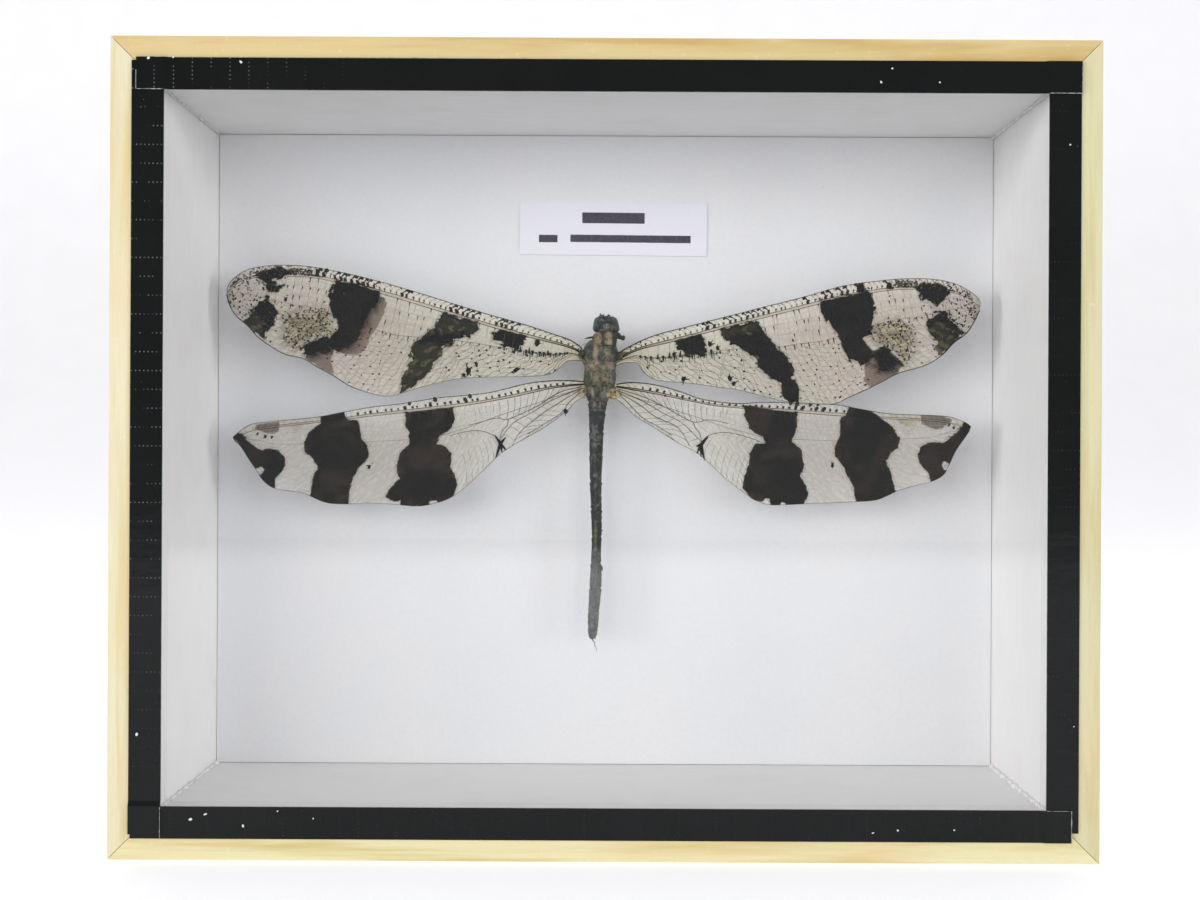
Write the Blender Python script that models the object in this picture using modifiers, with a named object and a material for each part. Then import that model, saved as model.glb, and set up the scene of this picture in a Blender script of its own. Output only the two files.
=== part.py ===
"""Antlion in a shallow wooden shadow box with a taped glass front.

The box stands on its bottom side. X runs to the viewer's right, Y runs away from the
viewer through the box, and Z is up. The origin is under the middle of the box.
"""
import math

import bmesh
import bpy
from mathutils import Matrix, Vector

MM = 0.001

# Box
BOX_WIDTH = 153.0 * MM
BOX_HEIGHT = 127.0 * MM
BOX_DEPTH = 38.0 * MM
WALL = 7.5 * MM
MITRE_GAP = 0.05 * MM
GAP = 0.1 * MM

# Pane, in the front rebate
GLASS_THICKNESS = 2.0 * MM
FRONT_REBATE_EDGE = 4.25 * MM
FRONT_REBATE_DEPTH = GLASS_THICKNESS + GAP

# Card and board, at the back
CARD_FACE_DEPTH = 33.0 * MM
CARD_THICKNESS = 1.5 * MM
BACK_REBATE_EDGE = 3.5 * MM
BACK_REBATE_START = CARD_FACE_DEPTH + CARD_THICKNESS + GAP
BACK_BOARD_THICKNESS = BOX_DEPTH - BACK_REBATE_START - GAP

# Tape, on the front face
TAPE_INSET = 3.35 * MM
TAPE_WIDTH = 4.95 * MM
TAPE_THICKNESS = 0.2 * MM
TAPE_GAP = 0.05 * MM
TAPE_LAP = TAPE_THICKNESS + TAPE_GAP
TAPE_RAMP = 0.8 * MM
TAPE_REACH = TAPE_GAP + TAPE_LAP + TAPE_THICKNESS

# Label
LABEL_WIDTH = 33.3 * MM
LABEL_HEIGHT = 9.3 * MM
LABEL_THICKNESS = 0.15 * MM
LABEL_X = 1.3 * MM
LABEL_Z = 102.8 * MM
LABEL_TURN = math.radians(0.35)

# Sawtooth hanger, on the back board
HANGER_THICKNESS = 0.6 * MM
HANGER_LIFT = 1.2 * MM
HANGER_TAB = 7.0 * MM
HANGER_STEP = 1.5 * MM
HANGER_HEIGHT = 8.0 * MM
HANGER_TOOTH = 1.8 * MM
HANGER_TEETH = 13
HANGER_PITCH = 2.0 * MM
HANGER_Z = 112.0 * MM
NAIL_SHANK = 0.6 * MM
NAIL_HOLE = 0.75 * MM
NAIL_HEAD = 1.9 * MM
NAIL_HEAD_HEIGHT = 0.7 * MM
NAIL_LENGTH = 2.6 * MM

# The tape stands in front of the wood and the hanger behind it.
HANGER_REACH = GAP + HANGER_LIFT + HANGER_THICKNESS
FRONT_Y = -(BOX_DEPTH + HANGER_REACH - TAPE_REACH) / 2
BACK_Y = FRONT_Y + BOX_DEPTH

# Specimen: its own origin is in the plane of the wings, between their roots.
SPECIMEN_X = -0.7 * MM
SPECIMEN_Z = 77.0 * MM
WING_DEPTH = 25.0 * MM
WING_THICKNESS = 0.3 * MM
WING_STAGGER = 0.35 * MM

# Each list is one wing's outline in millimetres from the specimen's origin.
FOREWING_LEFT = [
    (-3.3, 2.7), (-4.3, 4.7), (-8.2, 6.4), (-20.3, 10.0), (-31.4, 13.4), (-43.4, 16.6),
    (-51.5, 18.0), (-60.1, 17.8), (-64.1, 15.3), (-64.2, 11.5), (-59.4, 5.8), (-54.7, 2.9),
    (-46.1, -1.0), (-41.5, -3.4), (-36.9, -4.4), (-32.4, -3.1), (-24.4, -1.3), (-13.0, -0.9),
    (-8.2, -0.1), (-5.9, 1.8), (-3.7, 1.9),
]
FOREWING_RIGHT = [
    (3.1, 2.9), (5.3, 4.5), (9.2, 6.3), (19.6, 9.1), (34.3, 12.9), (41.7, 15.0),
    (52.6, 16.3), (61.1, 15.6), (65.2, 12.3), (63.0, 7.1), (58.8, 3.2), (51.3, 0.1),
    (45.4, -3.0), (39.9, -5.3), (32.2, -5.1), (23.1, -2.9), (10.8, -1.6), (7.0, 0.3),
    (4.0, 1.6),
]
HINDWING_LEFT = [
    (-3.3, -1.7), (-9.4, -1.7), (-20.3, -3.9), (-35.0, -5.8), (-48.3, -8.0), (-57.1, -8.8),
    (-61.9, -10.4), (-63.2, -11.8), (-60.6, -15.3), (-56.3, -20.3), (-50.5, -21.4),
    (-43.7, -22.9), (-31.1, -23.2), (-25.0, -21.3), (-17.1, -14.1), (-9.8, -9.7),
    (-4.6, -5.3),
]
HINDWING_RIGHT = [
    (3.1, -2.1), (7.5, -2.0), (17.0, -4.6), (30.7, -5.2), (40.2, -5.5), (49.4, -7.0),
    (57.6, -7.3), (63.4, -9.2), (59.7, -16.2), (56.7, -18.7), (49.1, -21.1), (40.0, -22.5),
    (28.5, -22.7), (19.7, -16.7), (13.1, -12.1), (6.0, -7.7), (3.2, -5.5),
]

# Body, in millimetres from the specimen's origin: x, depth below the wings, z
HEAD_CENTRE = (0.85, 1.5, 8.5)
HEAD_RADII = (1.7, 1.5, 1.25)
EYE_RADIUS = 0.85
EYE_SPREAD = 1.55
THORAX_TAIL = (-0.4, 1.9, -4.3)
THORAX_LEAN = math.radians(4.6)
THORAX_DEEPER = 1.2
# Height above the tail end and radius
THORAX_PROFILE = [
    (11.3, 0.0), (11.1, 1.1), (10.6, 1.7), (9.0, 1.85), (8.3, 1.8), (7.6, 2.4), (6.2, 2.9),
    (3.8, 3.0), (1.8, 2.7), (0.6, 2.0), (0.15, 1.2), (0.0, 0.0),
]
# x, depth, z and radius along the abdomen
ABDOMEN_STATIONS = [
    (-0.5, 2.4, -4.6, 1.2), (-0.55, 2.4, -5.3, 1.6), (-0.6, 2.45, -7.4, 1.47),
    (-0.7, 2.5, -9.3, 1.32), (-0.9, 2.6, -17.2, 1.05), (-0.8, 2.75, -25.0, 0.92),
    (-0.8, 2.9, -31.6, 0.84), (-0.8, 3.0, -35.9, 1.03), (-1.1, 3.1, -40.9, 0.98),
    (-1.3, 3.2, -45.7, 0.85), (-1.35, 3.2, -46.4, 0.45),
]
# Antennae start in front of the eyes and lie folded back beside the pronotum.
ANTENNA_RIGHT = [(1.3, 3.4, 9.0), (2.4, 3.9, 7.8), (3.0, 3.8, 6.7), (4.1, 3.7, 6.2)]
ANTENNA_LEFT = [(0.4, 3.4, 9.0), (-0.9, 4.4, 7.8), (-2.0, 4.5, 6.6), (-3.0, 4.3, 5.8)]
ANTENNA_THIN = 0.14
ANTENNA_CLUB = 0.36
# Where each pair of legs starts along the thorax, and how far back it is folded
LEG_PAIRS = {"fore": (5.6, 3.2), "mid": (1.6, 3.6), "hind": (-2.0, 4.2)}
LEG_RADIUS = 0.24
GLUE_RADIUS = 1.3 * MM
GLUE_TOP = 5.6 * MM

for old in list(bpy.data.objects):
    bpy.data.objects.remove(old)

parts = bpy.data.collections.new("insect_shadow_box")
guides = bpy.data.collections.new("cutters")
bpy.context.scene.collection.children.link(parts)
bpy.context.scene.collection.children.link(guides)

specimen = bpy.data.objects.new("specimen", None)
specimen.location = (SPECIMEN_X, FRONT_Y + WING_DEPTH, SPECIMEN_Z)
parts.objects.link(specimen)


def material(name, colour, roughness, transmission=0.0):
    """A plain Principled material."""
    made = bpy.data.materials.new(name)
    made.use_nodes = True
    shader = made.node_tree.nodes["Principled BSDF"]
    shader.inputs["Base Color"].default_value = (*colour, 1.0)
    shader.inputs["Roughness"].default_value = roughness
    shader.inputs["Transmission Weight"].default_value = transmission
    return made


def metal(name, colour, roughness):
    made = material(name, colour, roughness)
    made.node_tree.nodes["Principled BSDF"].inputs["Metallic"].default_value = 1.0
    return made


def add(name, data, finish, location=(0, 0, 0), rotation=(0, 0, 0), parent=None):
    """Put a mesh or curve in the scene as one named piece."""
    piece = bpy.data.objects.new(name, data)
    data.materials.append(finish)
    piece.location = location
    piece.rotation_euler = rotation
    piece.parent = parent
    parts.objects.link(piece)
    return piece


def to_mesh(name, shape):
    """Turn a bmesh into mesh data with its faces looking outward."""
    bmesh.ops.recalc_face_normals(shape, faces=shape.faces)
    data = bpy.data.meshes.new(name)
    shape.to_mesh(data)
    shape.free()
    return data


def slab(name, size, finish, location, rotation=(0, 0, 0)):
    """A plain rectangular block."""
    shape = bmesh.new()
    bmesh.ops.create_cube(shape, size=1.0, matrix=Matrix.Diagonal((*size, 1.0)))
    return add(name, to_mesh(name, shape), finish, location, rotation)


def soften(piece, width):
    """Round the edges of a block a little."""
    bevel = piece.modifiers.new("soft_edges", "BEVEL")
    bevel.width = width
    bevel.segments = 2
    bevel.limit_method = "ANGLE"


def ellipsoid(name, radii, centre, segments=16, rings=10):
    shape = bmesh.new()
    place = Matrix.Translation(centre) @ Matrix.Diagonal((*radii, 1.0))
    bmesh.ops.create_uvsphere(shape, u_segments=segments, v_segments=rings, radius=1.0, matrix=place)
    return to_mesh(name, shape)


def turned(name, profile, finish, steps, **place):
    """A profile of (height, radius) pairs, top to bottom, turned about Z."""
    shape = bmesh.new()
    verts = [shape.verts.new((radius, 0, height)) for height, radius in profile]
    for upper, lower in zip(verts, verts[1:]):
        shape.edges.new((upper, lower))
    data = bpy.data.meshes.new(name)
    shape.to_mesh(data)
    shape.free()
    piece = add(name, data, finish, **place)
    screw = piece.modifiers.new("turn", "SCREW")
    screw.steps = steps
    screw.render_steps = steps
    screw.use_merge_vertices = True
    screw.merge_threshold = 0.00001
    return piece


def tube(name, stations, finish, resolution=2):
    """A tube through stations of (x, depth, z, radius) in millimetres, on the specimen."""
    data = bpy.data.curves.new(name, "CURVE")
    data.dimensions = "3D"
    data.bevel_depth = MM
    data.bevel_resolution = resolution
    data.use_fill_caps = True
    spline = data.splines.new("POLY")
    spline.points.add(len(stations) - 1)
    for point, (x, depth, z, radius) in zip(spline.points, stations):
        point.co = (x * MM, depth * MM, z * MM, 1.0)
        point.radius = radius
    return add(name, data, finish, parent=specimen)


def cutter(name, radius, length, location):
    """A cylinder along Y that only cuts."""
    shape = bmesh.new()
    bmesh.ops.create_cone(shape, cap_ends=True, segments=16, radius1=radius, radius2=radius,
                          depth=length, matrix=Matrix.Rotation(math.pi / 2, 4, "X"))
    tool = bpy.data.objects.new(name, to_mesh(name, shape))
    tool.location = location
    tool.hide_render = True
    tool.display_type = "WIRE"
    guides.objects.link(tool)
    return tool


def cut(piece, tool):
    boolean = piece.modifiers.new("hole", "BOOLEAN")
    boolean.operation = "DIFFERENCE"
    boolean.object = tool


# Box sides

def box_side(name, length, centre, turn, finish):
    """One mitred bar, made as the bottom side and turned into its place."""
    profile = [
        (0, 0), (0, FRONT_REBATE_EDGE), (FRONT_REBATE_DEPTH, FRONT_REBATE_EDGE),
        (FRONT_REBATE_DEPTH, WALL), (BACK_REBATE_START, WALL),
        (BACK_REBATE_START, BACK_REBATE_EDGE), (BOX_DEPTH, BACK_REBATE_EDGE), (BOX_DEPTH, 0),
    ]
    shape = bmesh.new()
    end = shape.faces.new([shape.verts.new((-length / 2, y, z)) for y, z in profile])
    swept = bmesh.ops.extrude_face_region(shape, geom=[end])
    moved = [item for item in swept["geom"] if isinstance(item, bmesh.types.BMVert)]
    bmesh.ops.translate(shape, verts=moved, vec=(length, 0, 0))
    for side in (-1, 1):
        everything = shape.verts[:] + shape.edges[:] + shape.faces[:]
        bmesh.ops.bisect_plane(shape, geom=everything, clear_outer=True,
                               plane_co=(side * (length / 2 - MITRE_GAP), 0, 0),
                               plane_no=(side, 0, 1))
        bmesh.ops.holes_fill(shape, edges=shape.edges)
    return add(name, to_mesh(name, shape), finish, centre, (0, turn, 0))


def make_box():
    pine = material("pine", (0.80, 0.68, 0.42), 0.5)
    middle = BOX_HEIGHT / 2
    box_side("side_bottom", BOX_WIDTH, (0, FRONT_Y, 0), 0, pine)
    box_side("side_top", BOX_WIDTH, (0, FRONT_Y, BOX_HEIGHT), math.pi, pine)
    box_side("side_left", BOX_HEIGHT, (-BOX_WIDTH / 2, FRONT_Y, middle), math.pi / 2, pine)
    box_side("side_right", BOX_HEIGHT, (BOX_WIDTH / 2, FRONT_Y, middle), -math.pi / 2, pine)

    clear = material("glass", (0.9, 0.95, 0.93), 0.03, transmission=1.0)
    inset = 2 * (FRONT_REBATE_EDGE + GAP)
    slab("glass_pane", (BOX_WIDTH - inset, GLASS_THICKNESS, BOX_HEIGHT - inset), clear,
         (0, FRONT_Y + GLASS_THICKNESS / 2, middle))


# Tape

def tape_strip(name, start, finish_at, across, horizontal, laps, finish):
    """A flat strip whose lapped ends step up over the strip below.

    start and finish_at run along the strip, across is its middle line, and laps says
    for each end whether it lies over another strip.
    """
    lap = TAPE_INSET + TAPE_WIDTH + TAPE_GAP
    half = (BOX_WIDTH if horizontal else BOX_HEIGHT) / 2
    stations = [(start, laps[0]), (finish_at, laps[1])]
    if laps[0]:
        stations[1:1] = [(lap - half, True), (lap - half + TAPE_RAMP, False)]
    if laps[1]:
        stations[-1:-1] = [(half - lap - TAPE_RAMP, False), (half - lap, True)]
    shape = bmesh.new()
    previous = None
    for along, raised in stations:
        y = -TAPE_LAP if raised else 0.0
        pair = []
        for side in (-TAPE_WIDTH / 2, TAPE_WIDTH / 2):
            x, z = (along, across + side) if horizontal else (across + side, along)
            pair.append(shape.verts.new((x, y, z)))
        if previous:
            shape.faces.new((previous[0], pair[0], pair[1], previous[1]))
        previous = pair
    data = bpy.data.meshes.new(name)
    shape.to_mesh(data)
    shape.free()
    piece = add(name, data, finish, (0, FRONT_Y - TAPE_GAP, BOX_HEIGHT / 2))
    solidify = piece.modifiers.new("thickness", "SOLIDIFY")
    solidify.thickness = TAPE_THICKNESS
    solidify.offset = 1.0 if horizontal else -1.0
    return piece


def make_tape():
    black = material("black_tape", (0.012, 0.013, 0.013), 0.25)
    middle_line = TAPE_INSET + TAPE_WIDTH / 2
    half_width = BOX_WIDTH / 2
    half_height = BOX_HEIGHT / 2
    tape_strip("tape_top", 4.1 * MM - half_width, half_width - TAPE_INSET,
               half_height - middle_line, True, (True, True), black)
    tape_strip("tape_left", 4.05 * MM - half_height, half_height - 3.8 * MM,
               middle_line - half_width, False, (True, False), black)
    tape_strip("tape_bottom", 3.6 * MM - half_width, half_width - 4.5 * MM,
               middle_line - half_height, True, (False, True), black)
    tape_strip("tape_right", 4.8 * MM - half_height, half_height - 3.8 * MM,
               half_width - middle_line, False, (False, False), black)


# Card, board, label and hanger

def make_back():
    middle = BOX_HEIGHT / 2
    card = material("white_card", (0.66, 0.69, 0.73), 0.7)
    board = material("hardboard", (0.35, 0.23, 0.13), 0.75)
    paper = material("label_paper", (0.78, 0.77, 0.84), 0.8)
    steel = metal("hanger_steel", (0.62, 0.60, 0.55), 0.35)

    opening = 2 * (WALL + GAP)
    slab("mount_card", (BOX_WIDTH - opening, CARD_THICKNESS, BOX_HEIGHT - opening), card,
         (0, FRONT_Y + CARD_FACE_DEPTH + CARD_THICKNESS / 2, middle))
    opening = 2 * (BACK_REBATE_EDGE + GAP)
    back = slab("back_board", (BOX_WIDTH - opening, BACK_BOARD_THICKNESS, BOX_HEIGHT - opening),
                board, (0, BACK_Y - BACK_BOARD_THICKNESS / 2, middle))
    slab("name_label", (LABEL_WIDTH, LABEL_THICKNESS, LABEL_HEIGHT), paper,
         (LABEL_X, FRONT_Y + CARD_FACE_DEPTH - TAPE_GAP - LABEL_THICKNESS / 2, LABEL_Z),
         (0, LABEL_TURN, 0))

    hanger = make_hanger(steel)
    nail_x = HANGER_PITCH * HANGER_TEETH / 2 + HANGER_STEP + HANGER_TAB / 2
    for side, x in (("left", -nail_x), ("right", nail_x)):
        hole = cutter("nail_hole_" + side, NAIL_HOLE, 10 * MM, (x, BACK_Y, HANGER_Z))
        cut(hanger, hole)
        cut(back, hole)
        rim = GAP + HANGER_THICKNESS + TAPE_GAP
        profile = [
            (rim + NAIL_HEAD_HEIGHT, 0), (rim + NAIL_HEAD_HEIGHT * 0.8, NAIL_HEAD * 0.6),
            (rim + NAIL_HEAD_HEIGHT * 0.3, NAIL_HEAD), (rim, NAIL_HEAD), (rim, NAIL_SHANK),
            (-NAIL_LENGTH + 2 * NAIL_SHANK, NAIL_SHANK), (-NAIL_LENGTH, 0),
        ]
        turned("hanger_nail_" + side, profile, steel, 16,
               location=(x, BACK_Y, HANGER_Z), rotation=(-math.pi / 2, 0, 0))


def make_hanger(finish):
    """A strip with two nailed tabs and a raised middle whose lower edge has teeth."""
    half = HANGER_PITCH * HANGER_TEETH / 2
    low = -HANGER_HEIGHT / 2
    stations = [(-half - HANGER_STEP - HANGER_TAB, 0, low), (-half - HANGER_STEP, 0, low)]
    for step in range(2 * HANGER_TEETH + 1):
        notch = HANGER_TOOTH if step % 2 else 0
        stations.append((-half + step * HANGER_PITCH / 2, HANGER_LIFT, low + notch))
    stations += [(-x, lift, z) for x, lift, z in reversed(stations[:2])]
    shape = bmesh.new()
    previous = None
    for x, lift, z in stations:
        pair = (shape.verts.new((x, lift, z)), shape.verts.new((x, lift, HANGER_HEIGHT / 2)))
        if previous:
            shape.faces.new((previous[0], previous[1], pair[1], pair[0]))
        previous = pair
    data = bpy.data.meshes.new("hanger")
    shape.to_mesh(data)
    shape.free()
    piece = add("hanger", data, finish, (0, BACK_Y + GAP, HANGER_Z))
    solidify = piece.modifiers.new("thickness", "SOLIDIFY")
    solidify.thickness = HANGER_THICKNESS
    solidify.offset = 1.0
    return piece


# Specimen

def wing(name, outline, depth, finish):
    """A thin flat plate inside a smooth outline."""
    data = bpy.data.curves.new(name, "CURVE")
    data.dimensions = "2D"
    data.fill_mode = "BOTH"
    data.extrude = WING_THICKNESS / 2
    data.resolution_u = 3
    spline = data.splines.new("BEZIER")
    spline.bezier_points.add(len(outline) - 1)
    spline.use_cyclic_u = True
    for point, (x, z) in zip(spline.bezier_points, outline):
        point.co = (x * MM, z * MM, 0)
        point.handle_left_type = "AUTO"
        point.handle_right_type = "AUTO"
    return add(name, data, finish, (0, depth, 0), (math.pi / 2, 0, 0), specimen)


def make_head(finish):
    """The head capsule and its two eyes, joined in one solid."""
    head = add("head", ellipsoid("head", HEAD_RADII, (0, 0, 0)), finish,
               Vector(HEAD_CENTRE), parent=specimen)
    head.scale = (MM, MM, MM)
    head.location *= MM
    for side in (-1, 1):
        eye = bpy.data.objects.new("eye_form", ellipsoid("eye_form", (EYE_RADIUS,) * 3,
                                                         (side * EYE_SPREAD, -0.1, -0.15), 12, 8))
        eye.parent = head
        eye.hide_render = True
        eye.display_type = "WIRE"
        guides.objects.link(eye)
        union = head.modifiers.new("eye", "BOOLEAN")
        union.operation = "UNION"
        union.object = eye


def leg(name, side, start, fold, finish):
    """A leg that leaves the thorax, bends at the knee and lies folded against it."""
    knee = start + 0.35 * fold
    stations = [
        (side * 1.1, 5.3, start, LEG_RADIUS),
        (side * 2.2, 5.9, knee, LEG_RADIUS),
        (side * 2.4, 6.8, start - 0.3 * fold, LEG_RADIUS * 0.8),
        (side * 1.9, 7.2, start - 0.6 * fold, LEG_RADIUS * 0.6),
    ]
    tube(name, stations, finish)


def make_specimen():
    grey = material("cuticle", (0.16, 0.14, 0.11), 0.55)
    dark = material("eye_and_limb", (0.03, 0.025, 0.02), 0.4)
    membrane = material("wing_membrane", (0.66, 0.62, 0.50), 0.4)
    glue = material("glue", (0.75, 0.72, 0.62), 0.3)

    wing("forewing_left", FOREWING_LEFT, WING_STAGGER, membrane)
    wing("forewing_right", FOREWING_RIGHT, WING_STAGGER, membrane)
    wing("hindwing_left", HINDWING_LEFT, -WING_STAGGER, membrane)
    wing("hindwing_right", HINDWING_RIGHT, -WING_STAGGER, membrane)

    make_head(grey)
    profile = [(height * MM, radius * MM) for height, radius in THORAX_PROFILE]
    thorax = turned("thorax", profile, grey, 20, location=Vector(THORAX_TAIL) * MM,
                    rotation=(0, THORAX_LEAN, 0), parent=specimen)
    thorax.scale = (1.0, THORAX_DEEPER, 1.0)
    tube("abdomen", ABDOMEN_STATIONS, grey, 4)

    for side, route in (("left", ANTENNA_LEFT), ("right", ANTENNA_RIGHT)):
        radii = (ANTENNA_THIN, ANTENNA_THIN, ANTENNA_THIN * 1.4, ANTENNA_CLUB)
        stations = [(*place, radius) for place, radius in zip(route, radii)]
        tube("antenna_" + side, stations, dark)
    for pair, (start, fold) in LEG_PAIRS.items():
        leg("leg_" + pair + "_left", -1, start, fold, dark)
        leg("leg_" + pair + "_right", 1, start, fold, dark)

    card_face = CARD_FACE_DEPTH - WING_DEPTH
    height = card_face - TAPE_GAP - GLUE_TOP
    profile = [(height, 0), (height, GLUE_RADIUS * 0.8), (height * 0.3, GLUE_RADIUS),
               (0, GLUE_RADIUS * 1.2), (0, 0)]
    turned("glue_dab", profile, glue, 16, location=(0, card_face - TAPE_GAP, 0),
           rotation=(math.pi / 2, 0, 0), parent=specimen)


make_box()
make_tape()
make_back()
make_specimen()
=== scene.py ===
import math
import random

import bpy
import numpy as np
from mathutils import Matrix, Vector, noise


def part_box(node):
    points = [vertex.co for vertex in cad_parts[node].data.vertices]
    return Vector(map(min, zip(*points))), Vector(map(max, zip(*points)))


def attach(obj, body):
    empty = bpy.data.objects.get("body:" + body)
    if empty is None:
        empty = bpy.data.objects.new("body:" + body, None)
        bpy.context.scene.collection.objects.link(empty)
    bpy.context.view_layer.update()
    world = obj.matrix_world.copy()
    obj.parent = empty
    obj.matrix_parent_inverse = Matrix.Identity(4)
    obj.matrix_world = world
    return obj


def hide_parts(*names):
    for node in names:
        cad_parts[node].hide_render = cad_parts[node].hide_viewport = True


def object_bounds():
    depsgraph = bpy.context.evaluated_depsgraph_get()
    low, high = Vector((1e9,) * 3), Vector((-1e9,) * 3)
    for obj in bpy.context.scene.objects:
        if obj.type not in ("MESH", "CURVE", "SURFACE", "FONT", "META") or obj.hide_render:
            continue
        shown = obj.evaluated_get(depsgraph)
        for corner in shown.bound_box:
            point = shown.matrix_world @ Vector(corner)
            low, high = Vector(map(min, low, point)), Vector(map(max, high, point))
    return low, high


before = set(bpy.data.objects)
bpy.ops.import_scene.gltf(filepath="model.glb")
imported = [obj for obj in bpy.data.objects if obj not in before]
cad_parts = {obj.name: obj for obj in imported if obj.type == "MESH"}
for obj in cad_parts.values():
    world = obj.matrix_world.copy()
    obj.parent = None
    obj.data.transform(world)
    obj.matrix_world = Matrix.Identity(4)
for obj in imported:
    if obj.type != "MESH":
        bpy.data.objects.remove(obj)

MM = 0.001
SEED = 7
CAD_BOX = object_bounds()
rng = random.Random(SEED)


def low(node):
    return Vector(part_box(node)[0])


def high(node):
    return Vector(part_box(node)[1])


def middle(node):
    return (low(node) + high(node)) / 2


FRONT_Y = low("side_bottom").y
CARD_Y = low("mount_card").y
WING_Y = (middle("forewing_left").y + middle("hindwing_left").y) / 2
SPECIMEN = Vector((middle("glue_dab").x, WING_Y, middle("glue_dab").z))


def from_specimen(points):
    """Points in metres for (x, y, z) in mm from the specimen's origin."""
    return np.asarray(points, dtype=float) * MM + np.array(SPECIMEN)


# ---------------------------------------------------------------- materials

def srgb(red, green, blue):
    """A colour given as it is seen, 0 to 255, turned into linear light."""
    return tuple(((value / 255 + 0.055) / 1.055) ** 2.4 for value in (red, green, blue))


# Sockets of the Mix node when it mixes colours
MIX_AMOUNT, MIX_A, MIX_B, MIX_RESULT = 0, 6, 7, 2


class Paint:
    """Short calls that build one node material."""

    def __init__(self, name):
        self.material = bpy.data.materials.new(name)
        self.material.use_nodes = True
        self.tree = self.material.node_tree
        self.tree.nodes.clear()
        self.place = self.node("TexCoord").outputs["Object"]

    def node(self, kind, inputs=None, **settings):
        made = self.tree.nodes.new("ShaderNode" + kind)
        for key, value in settings.items():
            setattr(made, key, value)
        for key, value in (inputs or {}).items():
            self.plug(made.inputs[key], value)
        return made

    def plug(self, socket, value):
        if isinstance(value, bpy.types.NodeSocket):
            self.tree.links.new(value, socket)
        elif isinstance(value, tuple) and socket.type == "RGBA":
            socket.default_value = (*value, 1.0)
        else:
            socket.default_value = value

    def calc(self, operation, a, b=0.0, c=0.0):
        made = self.node("Math", operation=operation)
        for socket, value in zip(made.inputs, (a, b, c)):
            self.plug(socket, value)
        return made.outputs[0]

    def step(self, value, start, end):
        """0 below start, 1 above end, and smooth between them."""
        made = self.node("MapRange", interpolation_type="SMOOTHSTEP")
        made.inputs["From Min"].default_value = start
        made.inputs["From Max"].default_value = end
        self.plug(made.inputs["Value"], value)
        return made.outputs["Result"]

    def blend(self, amount, a, b):
        """a where amount is 0, b where it is 1."""
        made = self.node("Mix", {MIX_AMOUNT: amount, MIX_A: a, MIX_B: b}, data_type="RGBA",
                         clamp_factor=True)
        return made.outputs[MIX_RESULT]

    def lay(self, base, mask, most, colour):
        """base with a share of colour over it, up to most where mask is 1."""
        return self.blend(self.calc("MULTIPLY", mask, most), base, colour)

    def stretch(self, scale):
        made = self.node("VectorMath", {0: self.place, 1: scale}, operation="MULTIPLY")
        return made.outputs[0]

    def noise(self, scale, detail=3.0, place=None, rough=0.55, bend=0.0):
        made = self.node("TexNoise", {"Scale": scale, "Detail": detail, "Roughness": rough,
                                      "Distortion": bend, "Vector": place or self.place})
        return made.outputs["Fac"]

    def cells(self, scale):
        made = self.node("TexVoronoi", {"Scale": scale, "Vector": self.place})
        return made.outputs["Distance"]

    def read(self, name, output="Fac"):
        return self.node("Attribute", attribute_name=name).outputs[output]

    def split(self):
        return self.node("SeparateXYZ", {"Vector": self.place}).outputs

    def bump(self, height, distance):
        return self.node("Bump", {"Height": height, "Distance": distance}).outputs["Normal"]

    def finish(self, colour, roughness, **sockets):
        """The Principled shader and the output; sockets are named with _ for a space."""
        shader = self.node("BsdfPrincipled", {"Base Color": colour, "Roughness": roughness})
        for key, value in sockets.items():
            self.plug(shader.inputs[key.replace("_", " ")], value)
        self.tree.links.new(shader.outputs[0], self.node("OutputMaterial").inputs["Surface"])
        return self.material


# ------------------------------------------------------------------- shapes

def piece(name, verts, faces, material, replaces=(), layers=None, smooth=True):
    """One mesh piece that rides on the box; layers hold numbers for each point."""
    data = bpy.data.meshes.new(name)
    data.from_pydata(verts, [], faces)
    for key, values in (layers or {}).items():
        values = np.asarray(values, dtype=np.float32)
        kind, field = ("FLOAT", "value") if values.ndim == 1 else ("FLOAT_COLOR", "color")
        layer = data.attributes.new(key, kind, "POINT")
        layer.data.foreach_set(field, values.ravel())
    data.materials.append(material)
    if smooth:
        data.shade_smooth()
    made = bpy.data.objects.new(name, data)
    bpy.context.scene.collection.objects.link(made)
    if replaces:
        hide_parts(*replaces)
    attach(made, "root")


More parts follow.
